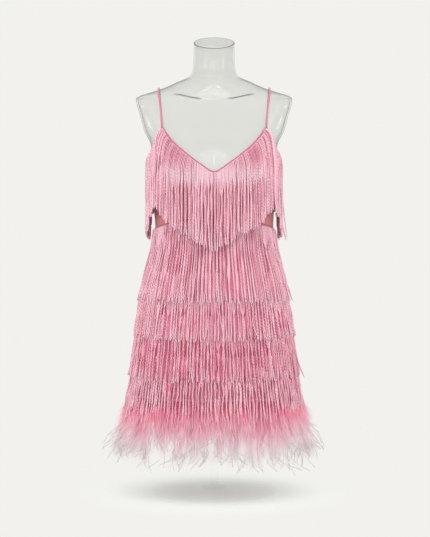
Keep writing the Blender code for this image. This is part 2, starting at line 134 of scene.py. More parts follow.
class Finish:
    """A material and the short ways to add nodes to it."""

    def __init__(self, name, **plain):
        self.material = bpy.data.materials.new(name)
        self.material.use_nodes = True
        self.tree = self.material.node_tree
        self.shader = self.tree.nodes["Principled BSDF"]
        self.set(**plain)

    def feed(self, target, value):
        if isinstance(value, Wire):
            self.tree.links.new(value.socket, target)
        elif isinstance(value, tuple) and len(value) == 3 and len(target.default_value) == 4:
            target.default_value = (*value, 1)
        else:
            target.default_value = value

    def raw(self, kind, settings, sockets):
        made = self.tree.nodes.new("ShaderNode" + kind)
        for setting, value in settings.items():
            if setting == "stops":
                ramp = made.color_ramp
                while len(ramp.elements) < len(value):
                    ramp.elements.new(1)
                for element, (place, tint) in zip(ramp.elements, value):
                    element.position, element.color = place, (*tint, 1)
            else:
                setattr(made, setting, value)
        for socket, value in sockets.items():
            self.feed(made.inputs[socket], value)
        return made

    def node(self, kind, settings, sockets, output=0):
        return Wire(self, self.raw(kind, settings, sockets).outputs[output])

    def mix(self, mask, first, second):
        """The first colour where the mask is 0 and the second where it is 1."""
        return self.node("Mix", {"data_type": "RGBA"}, {0: mask, 6: first, 7: second}, output=2)

    def attribute(self, name):
        return self.node("Attribute", {"attribute_name": name}, {}, output=2)

    def thread(self):
        """How far round and along its cord or cloth a point is."""
        split = self.raw("SeparateXYZ", {}, {"Vector": self.node("UVMap", {"uv_map": "thread"}, {})})
        return [Wire(self, socket) for socket in split.outputs[:2]]

    def place(self):
        return self.node("TexCoord", {}, {}, output=3)

    def noise(self, scale, detail, stretch=(1, 1, 1)):
        stretched = self.node("Mapping", {}, {"Vector": self.place(), "Scale": stretch})
        return self.node("TexNoise", {}, {"Vector": stretched, "Scale": scale, "Detail": detail})

    def bump(self, height, distance, strength):
        sockets = {"Height": height, "Distance": distance, "Strength": strength}
        self.set(Normal=self.node("Bump", {}, sockets))

    def set(self, **sockets):
        for socket, value in sockets.items():
            self.feed(self.shader.inputs[socket.replace("_", " ")], value)

    def surface(self, share, other):
        """Mixes a share of another shader over the main one."""
        main = Wire(self, self.shader.outputs[0])
        mixed = self.node("MixShader", {}, {0: share, 1: main, 2: other})
        self.feed(self.tree.nodes["Material Output"].inputs["Surface"], mixed)


def colour(red, green, blue):
    """A colour as the screen shows it, 0 to 255, in the linear numbers that light is worked out with."""
    shown = np.array([red, green, blue]) / 255
    return tuple(float(v) for v in np.where(shown < 0.04045, shown / 12.92, ((shown + 0.055) / 1.055) ** 2.4))


# %% [markdown]
# The fringe is rayon cord: two plies twisted round each other. Its colour has painted highlight on the
# crests and painted shade, deep pink, in the hollow between them. The twist is a wave of the way round plus
# the way along, so it winds up each cord like the stripe of a barber's pole. The satin's threads, the tape's
# ribs and the bias strips are waves too.

# %% Mix the fringe, satin and feather finishes
TWIST_PITCH = 0.0076
RIB_PITCH = 0.0016
FLOAT_WIDE, FLOAT_LONG, FLOAT_SWING = 0.0007, 0.0011, 0.191
BIAS_PITCH = 0.009

rayon = Finish("twisted_rayon", Roughness=0.36, Specular_IOR_Level=0.5)
rayon.set(Sheen_Weight=0.15, Sheen_Roughness=0.4, Sheen_Tint=colour(255, 190, 210))
around, along = rayon.thread()
twist = (around * 2 + along / TWIST_PITCH).wave()
shade = rayon.attribute("shade")
# painted highlight on the crests of the twist and painted shade in the hollow between them
crest_painted_highlight = rayon.mix(shade, colour(212, 98, 131), colour(244, 223, 230))
groove_painted_shade = rayon.mix(shade, colour(188, 60, 97), colour(228, 163, 183))
rayon.set(Base_Color=rayon.mix(twist, groove_painted_shade, crest_painted_highlight))
rayon.bump(twist, 0.0008, 1.0)

tape = Finish("woven_tape", Roughness=0.6, Sheen_Weight=0.2)
rib = (tape.thread()[0] / RIB_PITCH).wave()
tape.set(Base_Color=tape.mix(rib, colour(192, 96, 124), colour(222, 146, 170)))
tape.bump(rib, 0.0003, 0.6)

satin = Finish("pink_satin", Sheen_Weight=0.35, Sheen_Roughness=0.35, Anisotropic=0.4)
around, along = satin.thread()
floats = (around / FLOAT_WIDE + (along / FLOAT_LONG).wave() * FLOAT_SWING).wave()
wear = satin.noise(14, 3)
tone = satin.mix(wear, colour(180, 100, 107), colour(192, 114, 122))
satin.set(Base_Color=satin.mix(floats * 0.35, tone, colour(206, 136, 144)), Roughness=wear * 0.14 + 0.31)
satin.bump(floats * 0.25 + satin.noise(38, 2, (1, 1, 2.5)), 0.0006, 0.5)

rouleau = Finish("bias_satin_rouleau", Roughness=0.36, Sheen_Weight=0.3)
around, along = rouleau.thread()
bias = (around + along / BIAS_PITCH).wave()
rouleau.set(Base_Color=rouleau.mix(bias * 0.5, colour(176, 92, 112), colour(206, 134, 150)))
rouleau.bump(bias, 0.0004, 0.5)

ostrich = Finish("ostrich_feather", Roughness=0.75, Sheen_Weight=0.3, Sheen_Roughness=0.5)
fade = [
    (0.0, colour(246, 108, 152)),
    (0.22, colour(244, 146, 178)),
    (0.42, colour(246, 190, 208)),
    (0.62, colour(241, 212, 221)),
    (0.84, colour(239, 231, 233)),
    (1.0, colour(178, 170, 170)),
]
dyed = ostrich.node("ValToRGB", {"stops": fade}, {"Fac": ostrich.attribute("down")})
paler = ostrich.mix(0.3, dyed, colour(244, 220, 226))
dyed = ostrich.mix(ostrich.attribute("shade"), dyed, paler)
ostrich.set(Base_Color=dyed)
ostrich.surface(0.4, ostrich.node("BsdfTranslucent", {}, {"Color": dyed}))
print("finishes:", [f.material.name for f in (rayon, tape, satin, rouleau, ostrich)])

# %% [markdown]
# Clear acrylic shows mostly at its edges, where the eye looks along the wall instead of through it. Layer
# Weight gives that: the wall is nearly invisible where it faces the eye and grey where it turns away. A
# thin glaze that mirrors the lamps gives its glints.


# %% Mix the clear acrylic
def clear(name, light, dark, middle, edge, sharp, glaze, drawn=None):
    """middle and edge are how much the wall hides, seen square on and along it, and light and dark its tints.

    sharp is how narrow its drawn edges are, and drawn how strong. Without drawn the attribute `down` says so.
    The attribute `shade` darkens any place and carries painted shade. glaze is the share of the mirror-like
    gloss.
    """
    made = Finish(name, Roughness=0.1, IOR=1.45)
    facing = made.node("LayerWeight", {}, {"Blend": 0.5}, output=1)
    outlined = (facing**sharp) * (made.attribute("down") if drawn is None else drawn)
    darker = outlined.sum("MINIMUM", outlined.sum("MAXIMUM", outlined, made.attribute("shade")), 1.0)
    made.set(Base_Color=made.mix(darker, light, dark), Alpha=darker * (edge - middle) + middle)
    made.surface(glaze, made.node("BsdfAnisotropic", {}, {"Roughness": 0.11}))
    made.material.surface_render_method = "BLENDED"
    return made


shell_tints = (colour(164, 166, 161), colour(60, 62, 60))
stand_tints = (colour(222, 223, 220), colour(170, 172, 170))
shell_clear = clear("clear_acrylic_shell", *shell_tints, middle=0.122, edge=0.95, sharp=6, glaze=0.006)
stand_clear = clear("clear_acrylic_stand", *stand_tints, 0.015, 0.035, sharp=4, glaze=0.004, drawn=1)
print("clear finishes mixed")

# %% [markdown]
# ## The pattern
#
# A dressmaker's form is described by girths. Here each row of a table is one horizontal cut: how high it
# is, its half width, and how deep it is in front and behind. Between the rows the shape follows a smooth
# curve. The dress takes the form's own sections above the waist, a little larger, and has its own table
# below.


# %% Read the tables of sections
class Section(NamedTuple):
    """A horizontal cut, in millimetres. square is 2 for an ellipse and more for squarer corners."""

    height: float
    half_width: float
    front: float
    back: float
    square: float = 2.0
    centre: float = 0.0


FORM_SECTIONS = [Section(*row) for row in (
    # height, half_width, front, back, square, centre
    (400, 157, 101, 117),
    (440, 160, 105, 122),
    (480, 158.5, 106, 122),
    (517, 154, 104, 116),
    (546, 149, 102, 108),
    (575, 143.5, 99, 98),
    (604, 138.5, 96.5, 88),
    (636, 136.5, 95, 82),
    (680, 139, 97, 83),
    (720, 144.5, 103, 87, 2.1),
    (775, 153, 111, 93, 2.2),
    (826, 150, 107, 93, 2.4),
    (840, 153, 103, 92, 2.5),
    (865, 166, 94, 87, 2.8, 2),
    (900, 176, 78, 77, 2.9, 6),
    (932, 185, 66, 66, 3.0, 10),
    (944, 186.5, 62, 62, 2.8, 12),
    (951, 178, 62, 62, 2.6, 13),
    (960, 150, 63, 62, 2.3, 14),
    (971, 117, 62, 61, 2.1, 14),
    (985, 86, 60, 59, 2.0, 14),
    (996, 61, 57, 56, 2.0, 14),
    (1005, 54, 54, 54, 2.0, 14),
    (1020, 50.5, 51, 51, 2.0, 12),
    (1050, 49, 49, 49, 2.0, 8),
    (1075, 49, 49, 49, 2.0, 3),
)]
NECK_TOP = FORM_SECTIONS[-1].height
EASE = 3.0
CLOTH = 1.5
WAIST_HEIGHT = 636
WAIST_ARCH = 27
HEM_HEIGHT = 215
DRESS_TOP = 930
SKIRT_SECTIONS = [Section(*row) for row in (
    # height, half_width, front, back of the skirt cloth's inner face
    (HEM_HEIGHT, 199, 152, 155),
    (260, 195.5, 149, 153),
    (310, 190, 145, 150),
    (360, 184.5, 139, 147),
    (410, 178.5, 132, 143),
    (460, 171.5, 126, 138),
    (510, 162.5, 118, 129),
    (550, 153, 111, 116),
    (590, 144, 103, 99),
    (WAIST_HEIGHT, 136.5 + EASE, 95 + EASE, 82 + EASE),
)]


def slope(before, here, after, column):
    """The slope at a row, limited so that the curve never overshoots its rows."""
    down = (here[column] - before[column]) / (here[0] - before[0])
    up = (after[column] - here[column]) / (after[0] - here[0])
    return 2 * down * up / (down + up) if down * up > 0 else 0.0


def curve_through(rows, at):
    """The row of a table at any value of its first column."""
    at = min(max(at, rows[0][0]), rows[-1][0])
    i = next(k for k in range(len(rows) - 1) if at <= rows[k + 1][0])
    low, high = rows[i], rows[i + 1]
    span = high[0] - low[0]
    t = (at - low[0]) / span
    values = []
    for column in range(1, len(low)):
        straight = (high[column] - low[column]) / span
        first = slope(rows[i - 1], low, high, column) if i > 0 else straight
        last = slope(low, high, rows[i + 2], column) if i + 2 < len(rows) else straight
        values.append(
            low[column] * (1 + 2 * t) * (1 - t) ** 2
            + high[column] * t * t * (3 - 2 * t)
            + span * first * t * (1 - t) ** 2
            - span * last * t * t * (1 - t)
        )
    return values


class Body:
    """A shape given by a row for every whole millimetre of height, read at many heights at once."""

    def __init__(self, first, last, row_at):
        self.heights = np.arange(first, last, dtype=float)
        self.columns = np.array([row_at(height) for height in range(first, last)], float).T

    def at(self, height):
        return [np.interp(height, self.heights, column) for column in self.columns]


def worn_row(height):
    if height < WAIST_HEIGHT:
        return curve_through(SKIRT_SECTIONS, height)
    wide, front, back, square, centre = curve_through(FORM_SECTIONS, height)
    return [wide + EASE, front + EASE, back + EASE, square, centre]


form_body = Body(FORM_SECTIONS[0].height, NECK_TOP + 1, lambda height: curve_through(FORM_SECTIONS, height))
worn_body = Body(HEM_HEIGHT, DRESS_TOP, worn_row)
print("sections read:", len(form_body.heights), "on the form,", len(worn_body.heights), "on the dress")

# %% [markdown]
# Every point of the dress is found by an angle round the body, a height, and how far it stands out from the
# cloth. The angle is 0 at the centre front, 90 at the wearer's left seam (+X) and 180 at the centre back.
# The functions take whole arrays, so thousands of cords are placed in one call.

# %% Find points on the form and the dress
BODY_CENTRE = 2.5
BUST_HEIGHT, BUST_RISE, BUST_ACROSS, BUST_WIDE, BUST_TALL = 775, 15, 70, 36, 46
NECK_LEAN_FROM = 1020
NECK_LEAN = math.tan(math.radians(17))


def rising(value, start, full):
    """0 up to start, 1 from full, and a smooth rise between them."""
    t = np.clip((value - start) / (full - start), 0, 1)
    return t * t * (3 - 2 * t)


def falling(value, full, gone):
    """1 up to full, 0 from gone, and a smooth fall between them."""
    return rising(-value, -gone, -full)


def bell(value, middle, width):
    """1 at the middle, and a soft fall to both sides."""
    return np.exp(-(((value - middle) / width) ** 2))


def unit(vectors):
    return vectors / np.maximum(np.linalg.norm(vectors, axis=-1, keepdims=True), 1e-9)


def bust(across, height):
    """How far the bust stands out of the plain section."""
    return BUST_RISE * bell(np.abs(across), BUST_ACROSS, BUST_WIDE) * bell(height, BUST_HEIGHT, BUST_TALL)


def outline(body, angle, height):
    """x and y of a body's outline, in millimetres."""
    wide, front, back, square, centre = body.at(height)
    s, c = np.sin(np.radians(angle)), np.cos(np.radians(angle))
    corner = (np.abs(s) ** square + np.abs(c) ** square) ** (-1 / square)
    x = wide * corner * s
    y = BODY_CENTRE + centre - np.where(c > 0, front, back) * corner * c
    return x, y - bust(x, height) * np.sqrt(np.maximum(0, c))


def outward(body, angle, height):
    """The direction away from the body, square to its outline."""
    ahead, behind = outline(body, angle + 0.5, height), outline(body, angle - 0.5, height)
    along_x, along_y = ahead[0] - behind[0], ahead[1] - behind[1]
    size = np.hypot(along_x, along_y)
    return along_y / size, -along_x / size


def points_at(x, y, height):
    """Points in metres from coordinates in millimetres."""
    return np.stack(np.broadcast_arrays(x, y, height), axis=-1) * MM


def on_dress(angle, height, out=0.0):
    """Points that stand `out` millimetres off the inner face of the cloth."""
    angle, height = np.broadcast_arrays(np.asarray(angle, float), np.asarray(height, float))
    x, y = outline(worn_body, angle, height)
    out_x, out_y = outward(worn_body, angle, height)
    return points_at(x + out * out_x, y + out * out_y, height)


def on_form(angle, height):
    """Points of the form's outer face. The neck's cut leans forward."""
    x, y = outline(form_body, angle, height)
    lean = np.maximum(0.0, (height - NECK_LEAN_FROM) / (NECK_TOP - NECK_LEAN_FROM)) * NECK_LEAN
    return points_at(x, y, height + lean * y)


def along_line(points):
    """How far along a line each of its points is."""
    return np.concatenate([[0], np.cumsum(np.linalg.norm(np.diff(points, axis=0), axis=1))])


def girth_at(height, angles):
    return along_line(np.stack(outline(worn_body, angles, np.full_like(angles, height)), -1))


def evenly_round(count, height):
    """Angles that share out the girth at a height evenly, and that girth."""
    fine = np.linspace(-180, 180, 721)
    girth = girth_at(height, fine)
    return np.interp((np.arange(count) + 0.5) / count * girth[-1], girth, fine), girth[-1]


for name, height in (("waist", WAIST_HEIGHT), ("hem", HEM_HEIGHT)):
    print(name, "girth", round(evenly_round(1, height)[1]), "mm")

# %% [markdown]
# The bodice's top edge is the neckline in front, the armholes at the sides and a low back. Like the
# sections, it is a short table that a smooth curve runs through.


# %% Draw the bodice's edges
class EdgePoint(NamedTuple):
    """A point of the top edge: how far it is from the centre line, and how high."""

    across: float
    height: float


NECKLINE = [EdgePoint(*row) for row in (
    # across, height
    (0, 772), (8, 773.5), (17, 779), (34, 791), (52, 804), (69, 818), (86, 832), (101, 847),
    (112, 861), (120.5, 876),
)]
ARMHOLE = [EdgePoint(*row) for row in (
    # across, height
    (120.5, 876), (128, 863), (135, 849), (140.5, 836), (145.5, 822),
)]
UNDERARM_HEIGHT = 799
BACK_EDGE = [
    # angle round the body, height
    (90, UNDERARM_HEIGHT), (99, 797), (108, 792), (119, 784), (131, 776), (143, 766), (155, 759),
    (168, 755), (180, 753),
]


def angle_across(across, height, body):
    """The angle, 0 to 90, at which a body's outline is this far from the centre line."""
    fine = np.linspace(0, 90, 901)
    return float(np.interp(across, outline(body, fine, np.full_like(fine, height))[0], fine))


def by_angle(edge):
    return [(angle_across(p.across, p.height, worn_body), p.height) for p in edge]


neck_rows, arm_rows = by_angle(NECKLINE), by_angle(ARMHOLE) + [(90.0, UNDERARM_HEIGHT)]
CUP_ANGLE = neck_rows[-1][0]


def edge_rows(angle):
    return neck_rows if angle <= CUP_ANGLE else arm_rows if angle <= 90 else BACK_EDGE


edge_angles = np.linspace(0, 180, 1801)
edge_heights = np.array([curve_through(edge_rows(angle), angle)[0] for angle in edge_angles])


def top_edge(angle):
    """The height of the bodice's top edge at any angle."""
    return np.interp(np.abs((np.asarray(angle, float) + 180) % 360 - 180), edge_angles, edge_heights)


def waist_arch(angle):
    """The waist seam rises in an arch towards the centre front, from 0 at the sides to 1."""
    return np.maximum(0, np.cos(np.radians(angle))) ** 1.5


def waist_seam(angle):
    return WAIST_HEIGHT + WAIST_ARCH * waist_arch(angle)


print("cup points at", round(CUP_ANGLE, 1), "degrees each side")

# %% [markdown]
# ## From points to meshes
#
# A real fringe is hundreds of single cords. Placing each as an object would be slow, so each piece of the
# dress is gathered into one mesh: its points, its four-cornered faces, and two numbers on every point.
# `shade` makes one cord a little paler than the next and also carries painted highlight and painted shade.
# `down` runs from 0 at the root to 1 at the tip.

# %% Gather points and faces into a mesh
MEAN_RADIUS = 0.15


class Cut:
    """Points, four-cornered faces, and what they carry, before they are sewn into a mesh."""

    def __init__(self, points, faces, thread=None, shade=0.5, down=0.5, finish=0):
        self.points, self.faces, self.finish = points.reshape(-1, 3), faces, finish
        self.thread = np.zeros((len(faces), 4, 2)) if thread is None else thread
        plain = np.ones(len(self.points))
        self.shade, self.down = (v * plain if np.ndim(v) == 0 else np.ravel(v) for v in (shade, down))


def grid_faces(rows, columns, copies=1, wrap=False):
    """Faces of grids of points in rows and columns. wrap joins each row's last point to its first."""
    row, column = np.mgrid[0 : rows - 1, 0 : columns - (not wrap)]
    here, beside = row * columns + column, row * columns + (column + 1) % columns
    faces = np.stack([here, beside, beside + columns, here + columns], -1).reshape(-1, 4)
    return (np.arange(copies)[:, None, None] * rows * columns + faces).reshape(-1, 4)


def sewn(name, cuts, finishes, material_slot, *replaced):
    """One object from several cuts. It rides on the frame and stands for the solids that it replaces."""
    mesh = bpy.data.meshes.new(name)
    starts = np.cumsum([0] + [len(cut.points) for cut in cuts[:-1]])
    points = np.concatenate([cut.points for cut in cuts])
    faces = np.concatenate([cut.faces + start for cut, start in zip(cuts, starts)])
    mesh.vertices.add(len(points))
    mesh.vertices.foreach_set("co", points.ravel())
    mesh.loops.add(faces.size)
    mesh.loops.foreach_set("vertex_index", faces.ravel())
    mesh.polygons.add(len(faces))
    mesh.polygons.foreach_set("loop_start", np.arange(len(faces)) * 4)
    finish_of = np.repeat([cut.finish for cut in cuts], [len(cut.faces) for cut in cuts])
    mesh.polygons.foreach_set("material_index", finish_of)
    mesh.update(calc_edges=True)
    thread = np.concatenate([cut.thread.reshape(-1, 2) for cut in cuts])
    mesh.uv_layers.new(name="thread").uv.foreach_set("vector", thread.ravel())
    for carried in ("shade", "down"):
        layer = mesh.attributes.new(carried, "FLOAT", "POINT")
        layer.data.foreach_set("value", np.concatenate([getattr(cut, carried) for cut in cuts]))
    for finish in finishes:
        mesh.materials.append(finish.material)
    mesh.shade_smooth()
    piece = placed(name, mesh)
    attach(piece, "root")
    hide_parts(*replaced)
    print(f"{name}: {2 * len(faces)} triangles")
    return piece


print("faces of a grid of 3 by 3 points:", len(grid_faces(3, 3)))

# %% [markdown]
# Three helpers give every shape of the dress: tubes for cords, bindings and straps, flat ribbons for the
# barbs of feathers, and double walls for cloth and for the clear form. Curves with a bevel could make the
# cords, but thousands of curves are slow to build, so all rings of a row are worked out in one call.


# %% Make tubes, ribbons and walls
def tube(lines, radius, sides, start=0.0):
    """Points, faces and thread of tubes along lines of (line, step, xyz). The thread begins at start."""
    count, steps = lines.shape[:2]
    along = unit(np.gradient(lines, axis=1))
    side = unit(np.cross(unit(lines * (1, 1, 0)), along))
    front = np.cross(along, side)
    turn = math.tau * np.arange(sides) / sides
    ring = np.cos(turn)[:, None] * side[:, :, None] + np.sin(turn)[:, None] * front[:, :, None]
    points = lines[:, :, None] + np.broadcast_to(radius, (count, steps))[:, :, None, None] * ring
    moved = np.linalg.norm(np.diff(lines, axis=1, prepend=lines[:, :1]), axis=-1)
    length = np.cumsum(moved, axis=1)
    step, corner = np.mgrid[0 : steps - 1, 0:sides]
    round_it = np.stack([corner, corner + 1, corner + 1, corner], -1) / sides
    along_it = np.stack([length[:, step], length[:, step], length[:, step + 1], length[:, step + 1]], -1)
    thread = np.stack([np.broadcast_to(round_it, along_it.shape), along_it + start], -1).reshape(-1, 4, 2)
    return points, grid_faces(steps, sides, count, wrap=True), thread


def with_ends(values):
    """Adds the first and last rings once more, for end caps that don't round off the shading of the cord."""
    rings = (values, values[:, 0], values[:, -1])
    return np.concatenate([ring.reshape(-1, *values.shape[3:]) for ring in rings])


CORD_SIDES = 4


def cords(lines, radius, shade, down):
    """Four-sided cords along lines of points. radius, shade and down are for each cord or each step."""
    count, steps = lines.shape[:2]
    start = np.random.default_rng(count).random((count, 1, 1, 1)) * TWIST_PITCH
    points, faces, thread = tube(lines, radius, CORD_SIDES, start)
    caps = np.arange(2 * count * CORD_SIDES).reshape(-1, 4) + points[..., 0].size
    caps[:count] = caps[:count, ::-1]
    carried = [np.repeat(np.broadcast_to(v, (count, steps))[..., None], CORD_SIDES, 2) for v in (shade, down)]
    faces, thread = np.concatenate([faces, caps]), np.concatenate([thread, np.zeros((2 * count, 4, 2))])
    return Cut(with_ends(points), faces, thread, *map(with_ends, carried))


def ribbons(lines, flat, width, shade, down):
    """Flat tapering barbs along lines of points. flat is the direction of each barb's width."""
    count, steps = lines.shape[:2]
    half = unit(np.cross(unit(np.gradient(lines, axis=1)), flat)) * width[:, :, None] / 2
    points = np.stack([lines - half, lines + half], axis=2)
    carried = [np.broadcast_to(v, (count, steps, 2)) for v in (shade[:, None, None], down[:, :, None])]
    return Cut(points, grid_faces(steps, 2, count), None, *carried)


def walled(outer, inner, closed):
    """Points and faces of a wall between two grids of points, with its cut edges closed."""
    rows, columns = outer.shape[:2]
    size = rows * columns
    face = grid_faces(rows, columns, wrap=closed)
    edges = [(np.arange(columns), False), (size - columns + np.arange(columns), True)]
    if not closed:
        edges += [(np.arange(rows) * columns, True), (np.arange(rows) * columns + columns - 1, False)]
    rim = []
    for line, flip in edges:
        here, following = (line, np.roll(line, -1)) if closed else (line[:-1], line[1:])
        strip = np.stack([here, here + size, following + size, following], -1)
        rim.append(strip[:, ::-1] if flip else strip)
    points = np.concatenate([outer.reshape(-1, 3), inner.reshape(-1, 3)])
    return points, np.concatenate([face, face[:, ::-1] + size, *rim])


def skin(angles, heights, out, thick, closed=False, finish=0):
    """A sheet of cloth as a thin wall. angles and heights are grids, and out is how far it stands out."""
    points, faces = walled(on_dress(angles, heights, out), on_dress(angles, heights, out - thick), closed)
    place = np.stack([np.radians(angles) * MEAN_RADIUS, heights * MM], -1).reshape(-1, 2)
    return Cut(points, faces, np.concatenate([place, place])[faces], finish=finish)


print("tubes, ribbons and walls ready")

# %% [markdown]
# ## The clear form
#
# The torso is one blown shell with a wall of 4 mm, open at the neck. It is lofted from the same sections as
# the frame's solid, with far more points, so that its edge is a clean line. Two shallow ridges mark the
# collarbones: the wall steps in below each one, the step turns a little away from the eye, and a dark line
# painted along it, as painted shade, shows the collarbone.

# %% Loft the clear torso
SHELL_COLUMNS = 128
SHELL_STEP = 5.0
SHELL_WALL = 4.0
NECK_RINGS = (0.7, 1.4, 2.4)
COLLAR = [
    # across, height of the line from the neck to the shoulder
    (0, 943.5), (30, 944), (50, 946.5), (66, 950), (80, 953.5), (100, 955.5), (190, 955.5),
]
COLLAR_MIDDLE, COLLAR_NEAR, COLLAR_STEP, COLLAR_BEND = 952.0, 6.0, 0.7, 16
# the collarbone lines are painted dark, as painted shade
LINE_FROM, LINE_TO, LINE_HALF_WIDTH, LINE_PAINTED_SHADE = (27, 38), (80, 104), 1.3, 0.85
RIDGE, RIDGE_STEP, RIDGE_FADE = 2.0, (-0.7, 1.4), (3, 24)
# the neck's rim is painted as a dark line, fainter behind
RIM_TALL, RIM_LOST_BEHIND = 0.9, 0.5
# painted shade in the throat, on the back wall that shows inside the neck
THROAT, THROAT_PAINTED_SHADE = (1053.5, 1056.5), 0.16
NECK, NECK_DARK = (975, 1010), 0.035
NECK_EDGE, STUB_ACROSS, STUB_HEIGHT = (986, 998), (140, 165), (936, 946)
SIDE_BAND = 20


def collar_height(x):
    return np.interp(np.abs(x), *zip(*COLLAR))


profile = form_body.heights
reach = along_line(np.stack([form_body.columns[0], profile], -1))
coarse = np.interp(np.linspace(0, reach[-1], int(reach[-1] / SHELL_STEP)), reach, profile)
coarse = coarse[np.abs(coarse - COLLAR_MIDDLE) > COLLAR_NEAR + 0.5]
close = np.arange(COLLAR_MIDDLE - COLLAR_NEAR, COLLAR_MIDDLE + COLLAR_NEAR, COLLAR_STEP)
shell_heights = np.unique(np.concatenate([coarse, close, NECK_TOP - np.array(NECK_RINGS)]))
angle_grid, height_grid = np.meshgrid(np.arange(SHELL_COLUMNS) * 360 / SHELL_COLUMNS, shell_heights)
plain = on_form(angle_grid, height_grid) / MM
in_front = np.clip(-plain[..., 1] / SIDE_BAND, 0, 1)
follow = bell(height_grid, COLLAR_MIDDLE, COLLAR_BEND) * in_front
height_grid = height_grid + (collar_height(plain[..., 0]) - COLLAR_MIDDLE) * follow

outer = on_form(angle_grid, height_grid)
normal = unit(np.cross(np.roll(outer, -1, 1) - np.roll(outer, 1, 1), np.gradient(outer, axis=0)))
across = np.abs(outer[..., 0]) / MM
above = height_grid - collar_height(across)
collar = rising(across, *LINE_FROM) * falling(across, *LINE_TO) * in_front
ridge = collar * RIDGE * rising(above, *RIDGE_STEP) * falling(above, *RIDGE_FADE)
outer = outer + normal * (ridge * MM)[..., None]
inner = outer - normal * SHELL_WALL * MM
print("rings of the torso:", len(shell_heights))

# %% [markdown]
# The finish reads two numbers. `shade` holds painted shade: a dark line along each collarbone, a dark line
# at the rim of the neck, and the throat behind it. It also darkens the neck itself a little. `down` says
# how strongly the edge is drawn: less at the neck and at the arm stubs, where the wall is thin.

# %% Draw the torso's lines and edges
INNER_FAINTER = 0.9
EDGES = (
    # how strongly each face's edge is drawn, and what the neck and the stubs add, outer face first
    (3.2, -2.7, -2.4),
    (0.1, 0.3, 1.5),
)

behind = np.clip(outer[..., 1] / MM / SIDE_BAND, 0, 1)
# painted shade: dark lines along the collarbones and the neck's rim, and the throat; the neck a little darker
# too
dark = [
    collar * bell(above, 0, LINE_HALF_WIDTH) * LINE_PAINTED_SHADE,
    (1 - RIM_LOST_BEHIND * behind) * bell(height_grid, NECK_TOP, RIM_TALL),
    THROAT_PAINTED_SHADE * behind * rising(height_grid, *THROAT),
    NECK_DARK * rising(height_grid, *NECK),
]
dark = np.maximum.reduce(dark).ravel()
at_neck = rising(height_grid, *NECK_EDGE)
at_stub = rising(across, *STUB_ACROSS) * falling(height_grid, *STUB_HEIGHT)
edges = np.stack([drawn + neck * at_neck + stub * at_stub for drawn, neck, stub in EDGES])
dark = np.concatenate([dark, dark * INNER_FAINTER])
shell = Cut(*walled(outer, inner, closed=True), shade=dark, down=edges)
sewn("clear_torso", [shell], [shell_clear], "clear_acrylic", "form_torso")
for node in ("form_plate", "form_pole", "form_base"):
    for material_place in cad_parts[node].material_slots:
        material_place.material = stand_clear.material

# %% [markdown]
# ## The satin underneath
#
# The bodice and the skirt are cut from satin: a front and a back each, sewn at the sides and at the waist.
# Little of it shows, only a wedge at each side of the midriff and the gaps between cords, but it gives
# those gaps their colour. Each panel is a thin wall a little finer than the frame's, with low pull lines at
# the waist.

# %% Cut and sew the satin panels
SATIN_THICK = 0.6
SIDE_GAP = 0.1
WAIST_GAP = 0.1
PANEL_COLUMNS = 81
CREASE_DEPTH, CREASES, CREASE_SLANT = 0.35, 9, 0.07
CREASES_ABOVE_WAIST, CREASES_TALL = 14, 30


def pull_lines(angle, height):
    """Creases of a third of a millimetre that run from the side seams into the waist."""
    wave = np.sin(np.radians(angle) * CREASES + (height - WAIST_HEIGHT) * CREASE_SLANT)
    return CREASE_DEPTH * wave * bell(height, WAIST_HEIGHT + CREASES_ABOVE_WAIST, CREASES_TALL)


def hem_line(angle):
    return np.full_like(angle, HEM_HEIGHT)


def under_waist(angle):
    return waist_seam(angle) - WAIST_GAP


class Panel(NamedTuple):
    """A panel of satin: its middle angle, its edges, its rows of points, and the size it is cut to."""

    middle: float
    low: object
    high: object
    rows: int
    flat: tuple


PANELS = {
    # middle, low, high, rows, flat
    "bodice_front": Panel(0, waist_seam, top_edge, 30, (0.47, 0.27)),
    "bodice_back": Panel(180, waist_seam, top_edge, 24, (0.42, 0.18)),
    "skirt_front": Panel(0, hem_line, under_waist, 30, (0.56, 0.45)),
    "skirt_back": Panel(180, hem_line, under_waist, 30, (0.57, 0.43)),
}
quarter = 90 - SIDE_GAP
satin_pieces = {}
satin_areas = {}
for node, panel in PANELS.items():
    round_body = np.linspace(panel.middle - quarter, panel.middle + quarter, PANEL_COLUMNS)
    angles, up = np.meshgrid(round_body, np.linspace(0, 1, panel.rows))
    low, high = panel.low(angles), panel.high(angles)
    heights = low + (high - low) * up
    cut = skin(angles, heights, CLOTH + pull_lines(angles, heights), SATIN_THICK)
    corners = cut.points[cut.faces[: (panel.rows - 1) * (PANEL_COLUMNS - 1)]]
    crossed = np.cross(corners[:, 2] - corners[:, 0], corners[:, 3] - corners[:, 1])
    satin_areas[node] = float(0.5 * np.linalg.norm(crossed, axis=1).sum())
    satin_pieces[node] = sewn(node + "_satin", [cut], [satin], "pink_satin", node)
    print(f"{node}: {satin_areas[node]:.4f} square metres of satin")

# %% [markdown]
# ## Bindings and straps
#
# The neckline and armholes are bound with a narrow rolled strip, and the straps are rouleau: bias strips
# sewn into a tube and turned right side out. A bias strip always twists a little, which the finish shows.

# %% Roll the bindings
ROUND_SIDES = 10
DOME_TIP, DOME_SHOULDER = 0.35, 0.85
BINDING_RADIUS = 1.5
BINDING_LIFT = 2.0


